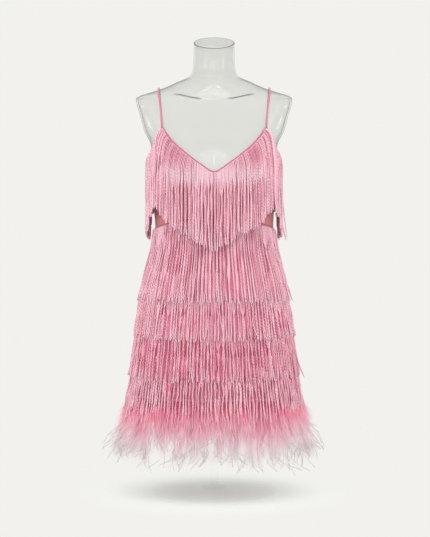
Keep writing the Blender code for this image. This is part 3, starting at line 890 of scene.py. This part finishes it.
def rolled(line, radius):
    """A round tube along one line of points, with a dome at each end."""
    size = np.full((1, len(line)), radius)
    size[0, [0, -1]] *= DOME_TIP
    size[0, [1, -2]] *= DOME_SHOULDER
    points, faces, thread = tube(line[None], size, ROUND_SIDES)
    last = len(line) * ROUND_SIDES
    ends = []
    for first, pole, flip in ((0, last, True), (last - ROUND_SIDES, last + 1, False)):
        for k in range(0, ROUND_SIDES, 2):
            fan = [first + k, first + k + 1, first + (k + 2) % ROUND_SIDES, pole]
            ends.append(fan[::-1] if flip else fan)
    points = np.concatenate([points.reshape(-1, 3), line[:1], line[-1:]])
    return Cut(points, np.concatenate([faces, ends]), np.concatenate([thread, np.zeros((len(ends), 4, 2))]))


def edge_line(first, last, count):
    """The centre line of a binding, just above the cloth's cut edge and square to it."""
    angle = np.linspace(first, last, count)
    line = on_dress(angle, top_edge(angle), CLOTH / 2)
    out_x, out_y = outward(worn_body, angle, top_edge(angle))
    up = np.cross(np.stack([out_x, out_y, np.zeros_like(out_x)], -1), unit(np.gradient(line, axis=0)))
    return line + up * np.sign(up[:, 2:]) * BINDING_LIFT * MM


for name, node, ends, count in (
    ("neck_and_arm_binding", "binding_front", (-89.9, 89.9), 240),
    ("back_binding_satin", "binding_back", (90.1, 269.9), 160),
):
    sewn(name, [rolled(edge_line(*ends, count), BINDING_RADIUS * MM)], [rouleau], "pink_binding", node)

# %% [markdown]
# Each strap climbs from a cup point, crosses the shoulder at the same distance from the centre line and
# comes down to the low back. Its centre line is lifted off the form, so the strap never sinks in.

# %% Lay the straps over the shoulders
STRAP_RADIUS = 2.3
STRAP_LIFT, LIFT_ON_TOP = 3.3, 0.5
STRAP_STEPS = 120
STRAP_ACROSS = 131
FRONT_END = (120.3, 877.5)
BACK_END_ACROSS, BACK_END_ANGLE, BACK_END_ABOVE = 119, 138, 6.4
CLIMB_TO, FULLY_ACROSS_AT = 940, 964
SHOULDER_TOP = (944, 996)


def off_form(angle, height, lift):
    """A point lifted off the form, square to its face."""
    around = on_form(angle + 1.0, height) - on_form(angle - 1.0, height)
    upward = on_form(angle, height + 1.0) - on_form(angle, height - 1.0)
    return on_form(angle, height) + lift * MM * unit(np.cross(around, upward))


def shoulder_height(angle):
    """The height near the top of the shoulder at which the form is as far out as the strap."""
    fine = np.linspace(*SHOULDER_TOP, 521)
    return float(np.interp(-STRAP_ACROSS, -outline(form_body, angle, fine)[0], fine))


def climb(across_end, end, shares):
    """Angles and heights between a strap's end and the shoulder."""
    for height in end + (CLIMB_TO - end) * shares:
        across = across_end + (STRAP_ACROSS - across_end) * (height - end) / (FULLY_ACROSS_AT - end)
        yield angle_across(across, height, form_body), height


def strap_line(side):
    back_end = float(top_edge(BACK_END_ANGLE)) + BACK_END_ABOVE
    front = climb(*FRONT_END, np.linspace(0, 1, 8)[:-1])
    back = climb(BACK_END_ACROSS, back_end, np.linspace(1, 0, 16)[1:])
    spots = [off_form(angle, height, STRAP_LIFT) for angle, height in front]
    spots += [off_form(float(a), shoulder_height(a), STRAP_LIFT + LIFT_ON_TOP) for a in range(45, 136, 5)]
    spots += [off_form(180 - angle, height, STRAP_LIFT) for angle, height in back]
    spots = np.array(spots) * (side, 1, 1)
    for _ in range(2):
        spots[1:-1] = spots[1:-1] * 0.5 + (spots[:-2] + spots[2:]) * 0.25
    place = along_line(spots)
    even = np.linspace(0, place[-1], STRAP_STEPS)
    return np.stack([np.interp(even, place, spots[:, k]) for k in range(3)], -1)


for name, side in (("strap_left", 1), ("strap_right", -1)):
    sewn(name + "_rouleau", [rolled(strap_line(side), STRAP_RADIUS * MM)], [rouleau], "pink_binding", name)

# %% [markdown]
# ## Fringe
#
# Fringe is sold as cord on a woven tape, and the tape is sewn round the dress. Left alone, the cords lie
# side by side like combed hair, but where they hang free they gather into small bunches with dark gaps
# between them, and they swing and wave a little. Each cord's path is worked out step by step, neighbours
# are drawn together towards the tips, and slow waves are added last.

# %% Let cords gather, sway and end unevenly
BUNCH_SIZES = {1: 0.05, 2: 0.58, 3: 0.32, 4: 0.05}
FULL_TURN = 6.3
WOUND, BUNCH_ROOM = 1.2, 1.7
OWN_WAVE, FLICK = 0.35, 2.2
STRAY_OUT = 14
OFTEN_SHORT, SHORTER = 0.06, (6, 20)


class Bunches:
    """Which cords of a row hang together, mostly two or three at a time."""

    def __init__(self, count, rng):
        sizes = rng.choice(list(BUNCH_SIZES), size=count, p=list(BUNCH_SIZES.values()))
        ends = np.cumsum(sizes)
        self.rng = rng
        self.of = np.searchsorted(ends, np.arange(count), side="right")
        self.place = np.arange(count) - ends[self.of] + (sizes[self.of] + 1) / 2

    def each(self, low, high):
        """A number for every bunch, given to each of its cords, as a column."""
        return self.rng.uniform(low, high, self.of[-1] + 1)[self.of][:, None]


def beside(lines):
    """The directions round the body and away from it."""
    away = unit(lines * (1, 1, 0))
    return np.cross(away, (0, 0, 1)), away


def lengthwise(lines):
    """From 0 at each line's first point to 1 at its last."""
    return np.linspace(0, 1, lines.shape[1])[None, :]


def gathered(lines, bunches, radius, amount):
    """Draws each bunch together, side by side and half wound round each other. amount is for each point."""
    middle = np.zeros((bunches.of[-1] + 1, *lines.shape[1:]))
    np.add.at(middle, bunches.of, lines)
    middle = (middle / np.bincount(bunches.of)[:, None, None])[bunches.of]
    around, away = beside(middle)
    wind = WOUND * np.sin(bunches.each(0, FULL_TURN) + lengthwise(lines) * bunches.each(3, 10))
    offset = bunches.place[:, None] * radius * BUNCH_ROOM * MM
    target = middle + around * (offset * np.cos(wind))[..., None] + away * (offset * np.sin(wind))[..., None]
    return lines + (target - lines) * (amount * bunches.each(0.75, 1.0))[..., None]


def swayed(lines, bunches, sway, amount, rng):
    """Slow sideways waves that a bunch shares, a smaller one of each cord's own, and a flick at its tip."""
    count, length = len(lines), lengthwise(lines)
    around, away = beside(lines)
    shared = np.sin(length * bunches.each(6, 14) + bunches.each(0, FULL_TURN)) * bunches.each(0.1, 0.7)
    shared = shared + bunches.each(-1, 1) * length**2
    own = length * rng.uniform(12, 26, (count, 1)) + rng.uniform(0, FULL_TURN, (count, 1))
    own = np.sin(own) * OWN_WAVE
    flick = rng.normal(0, FLICK, (count, 1)) * length**7
    sideways = (shared + own) * sway * amount + flick
    return lines + (around * sideways[..., None] + away * 0.5 * np.abs(flick)[..., None]) * MM


def strays(lines, part, rng):
    """A few cords stand away from the rest at their ends."""
    each = (len(lines), 1, 1)
    picked = rng.random(each) < part
    around, away = beside(lines)
    move = away * rng.uniform(0.2, 1, each) * STRAY_OUT + around * rng.normal(0, 0.7, each) * STRAY_OUT
    return lines + move * (lengthwise(lines)[..., None] ** 3 * MM) * picked


def uneven(length, bunches, rng):
    """Lengths that differ from bunch to bunch, a little from cord to cord, and now and then a lot."""
    count = len(length)
    short = np.where(rng.random(count) < OFTEN_SHORT, rng.uniform(*SHORTER, count), 0)
    return length + bunches.each(-2.4, 2.4)[:, 0] + rng.normal(0, 1.1, count) - short


print("cords hang in bunches of", list(BUNCH_SIZES))

# %% [markdown]
# Every fringe has two layers of cords. The layer behind is painted dark, as painted shade in the gaps
# between the bunches, and is dense so that it fills them. The layer in front is paler and gathers into
# bunches. The tops of both are sewn to a woven tape.

# %% Describe the layers and the tape
TAPE_DROP = 1.5
TAPE_THICK = 1.0
SCATTER_ROUND, SCATTER_OUT = 0.1, 0.4
THICKNESSES = (0.86, 1.08)
TIP_FROM, TIP_THICK = 0.97, 0.7


class Layer(NamedTuple):
    """A layer of cords in a fringe. spacing is from cord to cord, and out is how far it stands off."""

    spacing: float
    radius: float
    out: float
    darkest: float
    palest: float
    gather: float
    tip: float


FRINGE_LAYERS = [Layer(*row) for row in (
    # spacing, radius, out, darkest, palest, gather, tip
    # the layer behind: its dark tones are painted shade for the gaps between bunches
    (3.6, 1.6, 0.0, 0.0, 0.3, 0.14, 0.0),
    (3.15, 1.42, 2.2, 0.38, 0.86, 1.0, 0.25),
)]


def shades(layer, bunches, share, rng):
    """How pale each cord is: much the same through a bunch, and paler at the cut tip."""
    own = bunches.each(0, 1) * 0.6 + rng.uniform(0, 0.4, (len(bunches.of), 1))
    return np.clip(layer.darkest + (layer.palest - layer.darkest) * own + layer.tip * share**10, 0, 1)


def thickness(layer, share, count, rng):
    """A cord's radius at every step, a little smaller at the cut tip."""
    own = rng.uniform(*THICKNESSES, (count, 1))
    return layer.radius * MM * own * np.where(share > TIP_FROM, TIP_THICK, 1)


def heading_tape(first, last, count, top_of, tall, out, closed):
    """The woven band that the cords hang from."""
    angles, up = np.meshgrid(np.linspace(first, last, count), np.linspace(0, 1, 3))
    if closed:
        angles, up = angles[:, :-1], up[:, :-1]
    return skin(angles, top_of(angles) - tall + tall * up, out, TAPE_THICK, closed=closed, finish=1)


def hang(node, seed, hang_layer, band):
    """A fringe of both layers of cords and the tape that holds them."""
    rng = np.random.default_rng(seed)
    layers = [hang_layer(layer, layer.out > 0, rng) for layer in FRINGE_LAYERS]
    return sewn(node + "_cords", [*layers, band], [rayon, tape], "pink_rayon_fringe", node)


print("millimetres from cord to cord:", [layer.spacing for layer in FRINGE_LAYERS])

# %% [markdown]
# The skirt has four tiers. Each ring of tape covers the top of the tier below it. The lowest tier swings out
# over the feathers, so it stands off more and its cords end at many heights. Particle hair could hang them
# too, but then no cord's length, bunch and tone could be set by itself.


# %% Hang the tiers of the skirt
class Tier(NamedTuple):
    """A ring of fringe on the skirt.

    heading and arch place its tape, and the ends stand off the cloth by stand_off. Its bunches form between
    the shares `loose` and `open` of the length. The layer behind has the share `behind` of the length, and
    `thin` of the cords in front end early. painted_shade is how much darker its cords are painted, as
    painted shade, and paler where it is below 0. sway is how much it waves.
    """

    node: str
    heading: float
    arch: float
    length: float
    stand_off: float
    curve: float
    loose: float
    open: float
    behind: float
    thin: float
    painted_shade: float
    sway: float
    seed: int


TIERS = [Tier(*row) for row in (
    # node, heading, arch, length, stand_off, curve, loose, open, behind, thin, painted_shade, sway, seed
    ("fringe_skirt_1", WAIST_HEIGHT, WAIST_ARCH, 176, 4.5, 1.0, 0.02, 0.2, 0.97, 0, -0.06, 0.9, 11),
    ("fringe_skirt_2", 541, 0, 164, 4.5, 1.0, 0.4, 0.62, 0.97, 0, -0.03, 1.1, 12),
    ("fringe_skirt_3", 440, 0, 160, 5.0, 1.0, 0.3, 0.55, 0.97, 0, 0.06, 1.7, 13),
    ("fringe_skirt_4", 345, 0, 202, 22.0, 2.0, 0.05, 0.4, 0.54, 0.6, -0.02, 2.4, 14),
)]
TIER_STEPS = 15
TIER_TAPE_TALL, TIER_TAPE_OUT = 5, 2.6
COUNTED_AT = 0.4
ARCH_LOST = 0.8
SEWN_IN = 3
SHORTEST = 0.6
TIER_OUT = 1.7
TIER_STRAYS = 0.015


def hang_tier_layer(tier, layer, in_front, rng):
    girth = evenly_round(1, tier.heading - tier.length * COUNTED_AT)[1]
    count = round(girth / layer.spacing)
    bunches = Bunches(count, rng)
    angle = evenly_round(count, tier.heading)[0] + rng.normal(0, SCATTER_ROUND, count)
    rise = tier.arch * waist_arch(angle)
    top = tier.heading + rise - TAPE_DROP - SEWN_IN
    length = (tier.length - 2 * SEWN_IN) * (1 if in_front else tier.behind) + rise * ARCH_LOST
    early = in_front & (rng.random(count) < tier.thin)
    least = SHORTEST if tier.thin else 1.0
    ends_early, ends_late = rng.uniform(least, 1.0, count), rng.uniform(0.5 + least / 2, 1.0, count)
    length = uneven(length * np.where(early | (not in_front), ends_early, ends_late), bunches, rng)
    share = np.linspace(0, 1, TIER_STEPS)
    drop = length[:, None] * share
    heights = top[:, None] - drop
    stand_off = tier.stand_off * (drop / tier.length) ** tier.curve
    scatter = rng.uniform(-SCATTER_OUT, SCATTER_OUT, (count, 1))
    out = CLOTH + TIER_OUT + scatter + layer.out + stand_off
    lines = on_dress(np.broadcast_to(angle[:, None], heights.shape), np.maximum(heights, HEM_HEIGHT), out)
    lines[..., 2] = heights * MM
    amount = rising(share + bunches.each(-0.18, 0.12), tier.loose, tier.open)
    lines = gathered(lines, bunches, layer.radius, amount * layer.gather)
    lines = swayed(lines, bunches, tier.sway, amount, rng)
    lines = strays(lines, TIER_STRAYS * in_front, rng)
    # painted shade for the whole tier, darker or paler than the other tiers
    tone = np.clip(shades(layer, bunches, share, rng) - tier.painted_shade, 0, 1)
    return cords(lines, thickness(layer, share, count, rng), tone, share)


def hang_tier(tier):
    def band_top(angle):
        return tier.heading + tier.arch * waist_arch(angle) - TAPE_DROP

    band = heading_tape(-180, 180, 181, band_top, TIER_TAPE_TALL, CLOTH + TIER_TAPE_OUT, True)
    return hang(tier.node, tier.seed, lambda *layer: hang_tier_layer(tier, *layer), band)


tier_pieces = [hang_tier(tier) for tier in TIERS]

# %% [markdown]
# The bodice's fringe starts at the neckline and armholes, lies on the bust, and falls straight from its
# fullest point. So each cord is walked down in small steps: it keeps its place until it would sink into the
# dress, and then it is pushed straight out to the surface.

# %% Walk cords down over the dress
BODICE_STEPS, FINE = 27, 3
ROOT_OUT = 1.5
OVER_CLOTH, OVER_TIER, OVER_TIER_SLOPE, OVER_TIER_WITHIN = 4.35, 2.6, 0.052907, 20
CLOSER_ABOVE = 1.25
LEAN_LASTS = 0.22


def pushed_out(x, y, height, out):
    """The same places if they are outside the dress, or moved out from the middle until they are."""
    wide, front, back, square, centre = worn_body.at(height)
    deep = y - centre - BODY_CENTRE
    lobe = np.where(deep < 0, bust(x, height), 0.0)
    depth = np.where(deep < 0, front, back) + out
    level = (np.abs(x) / (wide + out)) ** square + (np.maximum(0, np.abs(deep) - lobe) / depth) ** square
    grow = np.maximum(level, 0.05) ** (-1 / square)
    moved = np.copysign((np.abs(deep) - lobe) * grow + lobe, deep) + centre + BODY_CENTRE
    return np.where(level < 1, x * grow, x), np.where(level < 1, moved, y)


def clear_of_dress(height):
    """How far out the bodice's cords hang, so that they pass over the skirt's first tier."""
    below = np.maximum(0, WAIST_HEIGHT + WAIST_ARCH - height)
    over_tier = (OVER_TIER + OVER_TIER_SLOPE * below) * np.minimum(1, below / OVER_TIER_WITHIN)
    return CLOTH + OVER_CLOTH + over_tier


def walked_down(root, angle, top, length, loft, lean):
    """Lines of points from the tape down over the dress, each kept outside it."""
    x, y = root[:, 0] / MM, root[:, 1] / MM
    out_x, out_y = outward(worn_body, angle, top)
    total = (BODICE_STEPS - 1) * FINE
    early = np.exp(-np.arange(1, total + 1) / (LEAN_LASTS * total))
    early /= early.sum()
    lines = [root]
    for i in range(1, total + 1):
        height = top - length * (i / total) ** CLOSER_ABOVE
        x, y = x - out_y * lean * early[i - 1], y + out_x * lean * early[i - 1]
        settle = min(1.0, i / (3 * FINE))
        out = (CLOTH + ROOT_OUT) * (1 - settle) + (clear_of_dress(height) - ROOT_OUT) * settle + loft
        x, y = pushed_out(x, y, height, out)
        if i % FINE == 0:
            lines.append(points_at(x, y, height))
    return np.stack(lines, axis=1)


print("steps of a bodice cord:", (BODICE_STEPS - 1) * FINE)

# %% [markdown]
# Near the armholes the cords lean outwards at first and are shorter, so that a wedge of satin shows at each
# side of the midriff. Over the bust, where they bend, a band of painted highlight makes them paler, and
# painted shade makes them darker just above it.

# %% Hang the bodice fringe
BODICE_LENGTH, BEHIND_SHORTER = 184, 5
BODICE_REACH = 89.3
ROOT_BELOW_EDGE, LOFT_LOWER, ROOT_LOFT = 1, 0.6, 1.4
BODICE_TAPE_TALL, BODICE_TAPE_OUT = 3, 1.6
TAPE_CROWDING = 1.08
LEAN, LEAN_FROM, LEAN_GONE = 18.0, 18, 88
OVER_ARM_FROM, OVER_ARM_TO, ABOVE_WEDGE = (118, 130), (148, 152), 667
HANGS_FREE, FREE_AT_SIDES, SIDES = (716, 756), 75, (100, 132)
BODICE_GATHER, BODICE_SWAY, BODICE_STRAYS = 0.85, 1.5, 0.03
# painted light: the bodice cords are painted paler than the tiers', most in the layer behind where the gaps
# are in shade
PAINTED_LIGHT_IN_FRONT, PAINTED_LIGHT_BEHIND = 0.11, 0.27
# a band of painted highlight where the cords bend over the bust, and painted shade above it
BEND_PAINTED_HIGHLIGHT, BEND, BEND_WIDE = 0.48, (766, 17), 125
ABOVE_PAINTED_SHADE, ABOVE_BEND, ABOVE_ACROSS = 0.25, (815, 22), (92, 30)


def painted_bust_light_and_shade(x, height):
    """Painted highlight where the cords bend over the fullest part, and painted shade above it."""
    above = bell(height, *ABOVE_BEND) * bell(np.abs(x), *ABOVE_ACROSS)
    return BEND_PAINTED_HIGHLIGHT * bell(height, *BEND) * np.exp(-((x / BEND_WIDE) ** 6)) - ABOVE_PAINTED_SHADE * above


def hang_bodice_layer(middle, layer, in_front, rng):
    fine = np.linspace(middle - BODICE_REACH, middle + BODICE_REACH, 1201)
    along_tape = along_line(on_dress(fine, top_edge(fine)) / MM)
    count = round(along_tape[-1] / layer.spacing / TAPE_CROWDING)
    bunches = Bunches(count, rng)
    places = (np.arange(count) + 0.5) / count * along_tape[-1]
    angle = np.interp(places, along_tape, fine) + rng.normal(0, SCATTER_ROUND, count)
    top = top_edge(angle) - ROOT_BELOW_EDGE
    loft = rng.uniform(-SCATTER_OUT, SCATTER_OUT, count) + layer.out - LOFT_LOWER
    root = on_dress(angle, top, CLOTH + ROOT_OUT + np.clip(loft, 0, ROOT_LOFT))
    from_middle = np.abs(root[:, 0]) / MM
    over_arm = rising(from_middle, *OVER_ARM_FROM) * falling(from_middle, *OVER_ARM_TO)
    leans = rising(np.abs(angle), LEAN_FROM, CUP_ANGLE) * falling(np.abs(angle), CUP_ANGLE, LEAN_GONE)
    lean = np.sign(angle) * leans * LEAN * (middle == 0)
    length = BODICE_LENGTH + (np.minimum(BODICE_LENGTH, top - ABOVE_WEDGE) - BODICE_LENGTH) * over_arm
    length = uneven(length - BEHIND_SHORTER * (not in_front), bunches, rng)
    lines = walked_down(root, angle, top, length, loft, lean)
    sides = rising(np.abs(lines[..., 0]) / MM, *SIDES)
    heights = lines[..., 2] / MM + bunches.each(-16, 16) - FREE_AT_SIDES * sides
    amount = falling(heights, *HANGS_FREE)
    lines = gathered(lines, bunches, layer.radius, amount * layer.gather * BODICE_GATHER)
    lines = swayed(lines, bunches, BODICE_SWAY, amount, rng)
    lines = strays(lines, BODICE_STRAYS * in_front, rng)
    share = np.linspace(0, 1, BODICE_STEPS)
    # painted highlight and painted shade over the bust, added to each cord's tone
    tone = shades(layer, bunches, share, rng) + painted_bust_light_and_shade(lines[..., 0] / MM, lines[..., 2] / MM)
    # painted light lifts the bodice cords, the layer behind the most
    tone = np.clip(tone + (PAINTED_LIGHT_IN_FRONT if in_front else PAINTED_LIGHT_BEHIND), 0, 1)
    return cords(lines, thickness(layer, share, count, rng), tone, share)


bodice_pieces = {}
for node, middle, seed in (("fringe_bodice_front", 0, 21), ("fringe_bodice_back", 180, 22)):
    ends = (middle - BODICE_REACH, middle + BODICE_REACH)
    tape_out = CLOTH + BODICE_TAPE_OUT
    band = heading_tape(*ends, 181, lambda angle: top_edge(angle) - 0.5, BODICE_TAPE_TALL, tape_out, False)
    bodice_pieces[node] = hang(node, seed, lambda *layer: hang_bodice_layer(middle, *layer), band)

# %% [markdown]
# ## The feather hem
#
# An ostrich plume has a thin quill with long, soft barbs on both sides that never hook together, so they
# drift apart into fluff. Each plume here is a curved quill from the tape at the hem, and each barb is a
# thin ribbon that leaves the quill at a slant and droops. The dye is strongest at the root and fades to a
# pale grey pink.

# %% Grow the quills
FEATHER_HEADING = 243
FEATHER_FOOT = 70
FEATHER_TAPE_TALL, FEATHER_TAPE_OUT = 8, 1.6
LEAST_DROP = 52
QUILL_UNDER_TAPE, QUILL_OUT, QUILL_LIFT = 6, 2.0, 0.15
TUFTS, TUFT_PULL = 38, 0.36
FADED_BY = 50
QUILL_STEPS = 10
KEPT_WITHIN = (
    # axis, where the bending back starts, and the room beyond it, in metres
    (0, 0.236, 0.034),
    (1, 0.188, 0.033),
)

rng = np.random.default_rng(31)
tuft_angles = evenly_round(TUFTS, HEM_HEIGHT)[0] + rng.normal(0, 1.6, TUFTS)
tuft_drops = rng.uniform(-20, 16, TUFTS)


def kept_close(points):
    """Bends back what would stand too far out at the sides, in front or behind."""
    kept = points.copy()
    for axis, free, room in KEPT_WITHIN:
        over = np.maximum(0, np.abs(points[..., axis]) - free)
        kept[..., axis] -= np.sign(points[..., axis]) * (over - room * np.tanh(over / room))
    return kept


def quills(count, drop_span, spread_span, rng):
    """Curved quills from the tape, as lines of points. Their tips gather into tufts."""
    angle = evenly_round(count, HEM_HEIGHT)[0] + rng.normal(0, 1.0, count)
    tuft = np.abs(angle[:, None] - tuft_angles).argmin(1)
    t = np.linspace(0, 1, QUILL_STEPS)[None, :]
    drop = np.maximum(rng.uniform(*drop_span, count)[:, None] + tuft_drops[tuft][:, None], LEAST_DROP)
    spread = rng.uniform(*spread_span, count)[:, None]
    curl = rng.normal(0, 8, count)[:, None]
    heights = FEATHER_HEADING - QUILL_UNDER_TAPE - drop * t + QUILL_LIFT * spread * t**3
    out = CLOTH + QUILL_OUT + spread * t**1.3 - np.maximum(0, curl) * t**4
    turned = angle[:, None] + TUFT_PULL * (tuft_angles[tuft] - angle)[:, None] * t**2
    turned = turned + rng.normal(0, 1.2, count)[:, None] * t**1.5
    lines = on_dress(turned, np.maximum(heights, HEM_HEIGHT), out)
    lines[..., 2] = heights * MM
    return kept_close(lines)


def dye_at(points, share):
    """How far the dye has faded: down the hem, away from the cloth, and towards each barb's own tip."""
    heights = points[..., 2] / MM
    fallen = (FEATHER_HEADING - heights) / (FEATHER_HEADING - FEATHER_FOOT)
    angle = np.degrees(np.arctan2(points[..., 0], -points[..., 1]))
    x, y = outline(worn_body, angle, np.maximum(heights, HEM_HEIGHT))
    proud = (np.hypot(points[..., 0], points[..., 1]) / MM - np.hypot(x, y)) / FADED_BY
    return np.clip(fallen**1.5 * 0.9 + 0.5 * np.clip(proud, 0, 1) + 0.16 * share**2 - 0.05, 0, 0.9)


def quill_cords(lines):
    taper = np.linspace(0.6, 0.2, QUILL_STEPS) * MM
    return cords(lines, taper, 0.3, dye_at(lines, np.linspace(0, 0.8, QUILL_STEPS)))


print("tufts of feather:", TUFTS)

# %% [markdown]
# The short plumes cover the tape, and the long ones hang below them. Single long barbs curl away at the
# ends.

# %% Grow the barbs and wisps
BARB_STEPS = 4
WISPS, WISP_STEPS = 330, 14
LOWEST_WISP = 0.03


def barbs_of(lines, per_plume, reach_span, width, rng):
    """Barbs on both sides of each quill. Those of one plume curl alike, so each plume ends in a tuft."""
    count, steps = lines.shape[:2]
    total = count * per_plume
    plume = np.repeat(np.arange(count), per_plume)
    place = rng.uniform(0.04, 1.0, total) * (steps - 1)
    low = np.minimum(place.astype(int), steps - 2)
    part = (place - low)[:, None]
    start = lines[plume, low] * (1 - part) + lines[plume, low + 1] * part
    along = unit(lines[plume, low + 1] - lines[plume, low])
    away = unit(start * (1, 1, 0))
    side = unit(np.cross(away, along)) * rng.choice([-1, 1], total)[:, None]
    heading = along * rng.uniform(0.7, 1.2, total)[:, None] + side * rng.uniform(0.15, 1.05, total)[:, None]
    heading = unit(heading + away * rng.normal(0.05, 0.22, total)[:, None])
    size = rng.uniform(*reach_span, total) * (1 - 0.3 * place / (steps - 1))
    share = np.linspace(0, 1, BARB_STEPS)
    s = share[None, :, None]
    shared = rng.normal(0, 0.4, (count, 3))[plume]
    curl = along * 0.5 - side * 0.25 + shared + rng.normal(0, 0.35, (total, 3)) + (0, 0, -0.35)
    path = heading[:, None] * s + curl[:, None] * s**2 * 0.5
    path = kept_close(start[:, None] + path * size[:, None, None] * MM)
    taper = (1 - 0.8 * share**1.5)[None, :]
    flat = unit(rng.normal(0, 1, (total, 1, 3)))
    return ribbons(path, flat, width * MM * taper, rng.uniform(0, 1, total), dye_at(path, share))


def wisp_lines(rng):
    """Long single barbs that curl away below and beside the plumes."""
    feet = quills(WISPS, (70, 124), (10, 38), rng)
    start = feet[:, -1]
    along = unit(feet[:, -1] - feet[:, -2])
    around, away = beside(start)
    size = rng.uniform(30, 66, WISPS)[:, None, None] * MM
    s = np.linspace(0, 1, WISP_STEPS)[None, :, None]
    heading = along * 0.8 + around * rng.normal(0, 0.32, (WISPS, 1))
    heading = heading + away * rng.normal(0.15, 0.3, (WISPS, 1))
    bend = around * rng.normal(0, 0.6, (WISPS, 1)) + away * rng.normal(0, 0.3, (WISPS, 1)) + (0, 0, 0.1)
    lines = start[:, None] + size * (unit(heading)[:, None] * s + bend[:, None] * s**2 * 0.7)
    lines[..., 2] = np.maximum(lines[..., 2], LOWEST_WISP)
    return kept_close(lines)


tape_out = CLOTH + FEATHER_TAPE_OUT
feather_tape = heading_tape(-180, 180, 121, lambda angle: FEATHER_HEADING, FEATHER_TAPE_TALL, tape_out, True)
short_quills = quills(150, (44, 98), (8, 25), rng)
upper = [barbs_of(short_quills, 190, (20, 40), 0.62, rng), quill_cords(short_quills), feather_tape]
sewn("feather_down", upper, [ostrich, tape], "pink_ostrich_feather", "feather_trim")
long_quills = quills(230, (84, 132), (14, 40), rng)
lower = [barbs_of(long_quills, 130, (26, 48), 0.55, rng), quill_cords(long_quills)]
sewn("feather_plumes", lower, [ostrich], "pink_ostrich_feather", "feather_trim")
wisp_paths = wisp_lines(np.random.default_rng(32))
wisps = cords(wisp_paths, np.linspace(0.85, 0.4, WISP_STEPS) * MM, 0.0, np.linspace(0.8, 1, WISP_STEPS))
sewn("feather_wisps", [wisps], [ostrich], "pink_ostrich_feather", "feather_trim")

# %% [markdown]
# ## What is cloth
#
# Each satin panel is listed with the size that it is cut to, its area and the fringe pieces sewn to it.

fringe_of = {
    "bodice_front": [bodice_pieces["fringe_bodice_front"]],
    "bodice_back": [bodice_pieces["fringe_bodice_back"]],
    "skirt_front": tier_pieces,
    "skirt_back": [],
}
for node, piece in satin_pieces.items():
    flat, area, fringe = PANELS[node].flat, satin_areas[node], fringe_of[node]
    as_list(fringe)
print("sheets declared:", len(satin_pieces))

# %% [markdown]
# ## Floor and light
#
# The floor and the surround are pale. A very large lamp behind the camera lights the front evenly, a broad
# one above the dress gives the soft shadow under the hem, and two side lamps round it. The three narrow
# windows are weak: the clear form mirrors them as thin glints. The two strips far out at the sides give the
# soft glints on its shoulders. Outside the shadow the floor glows, so that it meets the surround without an
# edge.

# %% Lay the floor and hang the lamps
BACKDROP = colour(242, 241, 237)
FLOOR_RADIUS = 30.0
FLOOR_SIDES = 96
FLOOR_LEVEL = -0.0006
SHADOW_REACH, GLOW_IN_SHADOW = (0.08, 0.36), 0.18

floor = placed("floor", bpy.data.meshes.new("floor"))
turns = np.linspace(0, math.tau, FLOOR_SIDES, endpoint=False)
rim = [(FLOOR_RADIUS * math.cos(turn), FLOOR_RADIUS * math.sin(turn), FLOOR_LEVEL) for turn in turns]
floor.data.from_pydata(rim, [], [range(FLOOR_SIDES)])

ground = Finish("pale_floor", Roughness=0.9, Base_Color=colour(234, 245, 241))
from_middle = ground.node("VectorMath", {"operation": "LENGTH"}, {0: ground.place()}, output=1)
outside = from_middle.between(*SHADOW_REACH) * (1 - GLOW_IN_SHADOW) + GLOW_IN_SHADOW
ground.surface(outside, ground.node("Emission", {}, {"Color": BACKDROP, "Strength": 1.0}))
floor.data.materials.append(ground.material)

world = bpy.data.worlds.new("studio")
bpy.context.scene.world = world
world.use_nodes = True
world.node_tree.nodes["Background"].inputs["Color"].default_value = (*BACKDROP, 1)
world.node_tree.nodes["Background"].inputs["Strength"].default_value = 1.0


class Lamp(NamedTuple):
    """A flat soft light. aim is the height above the floor's middle that it looks at."""

    name: str
    place: tuple
    aim: float
    watts: float
    wide: float
    tall: float


LAMPS = [Lamp(*row) for row in (
    # name, place, aim, watts, wide, tall
    ("lamp_above", (0, -0.9, 2.9), 0.5, 21, 2.2, 2.2),
    ("lamp_front", (0, -6.6, 1.1), 0.6, 192, 6.0, 3.4),
    ("lamp_left", (-2.6, -2.2, 0.9), 0.6, 22, 1.2, 1.2),
    ("lamp_right", (2.6, -2.2, 0.9), 0.6, 17, 1.2, 1.2),
    ("window_left", (-0.38, -4.0, 2.12), 0.8, 3.0, 0.07, 0.4),
    ("window_middle", (0.0, -4.0, 1.42), 0.8, 2.4, 0.03, 0.8),
    ("window_right", (0.34, -4.0, 2.12), 0.8, 3.0, 0.07, 0.4),
    ("strip_left", (-5.0, 0.06, 1.5), 0.9, 22, 0.6, 0.5),
    ("strip_right", (5.0, 0.06, 1.5), 0.9, 22, 0.6, 0.5),
)]
for lamp in LAMPS:
    light = placed(lamp.name, bpy.data.lights.new(lamp.name, "AREA"))
    light.data.shape, light.data.energy = "RECTANGLE", lamp.watts
    light.data.size, light.data.size_y = lamp.wide, lamp.tall
    light.location = lamp.place
    x, y, z = np.array(lamp.place) - (0, 0, lamp.aim)
    light.rotation_euler = (math.acos(z / math.hypot(x, y, z)), 0, math.atan2(y, x) + math.pi / 2)
print("floor and", len(LAMPS), "lamps placed")
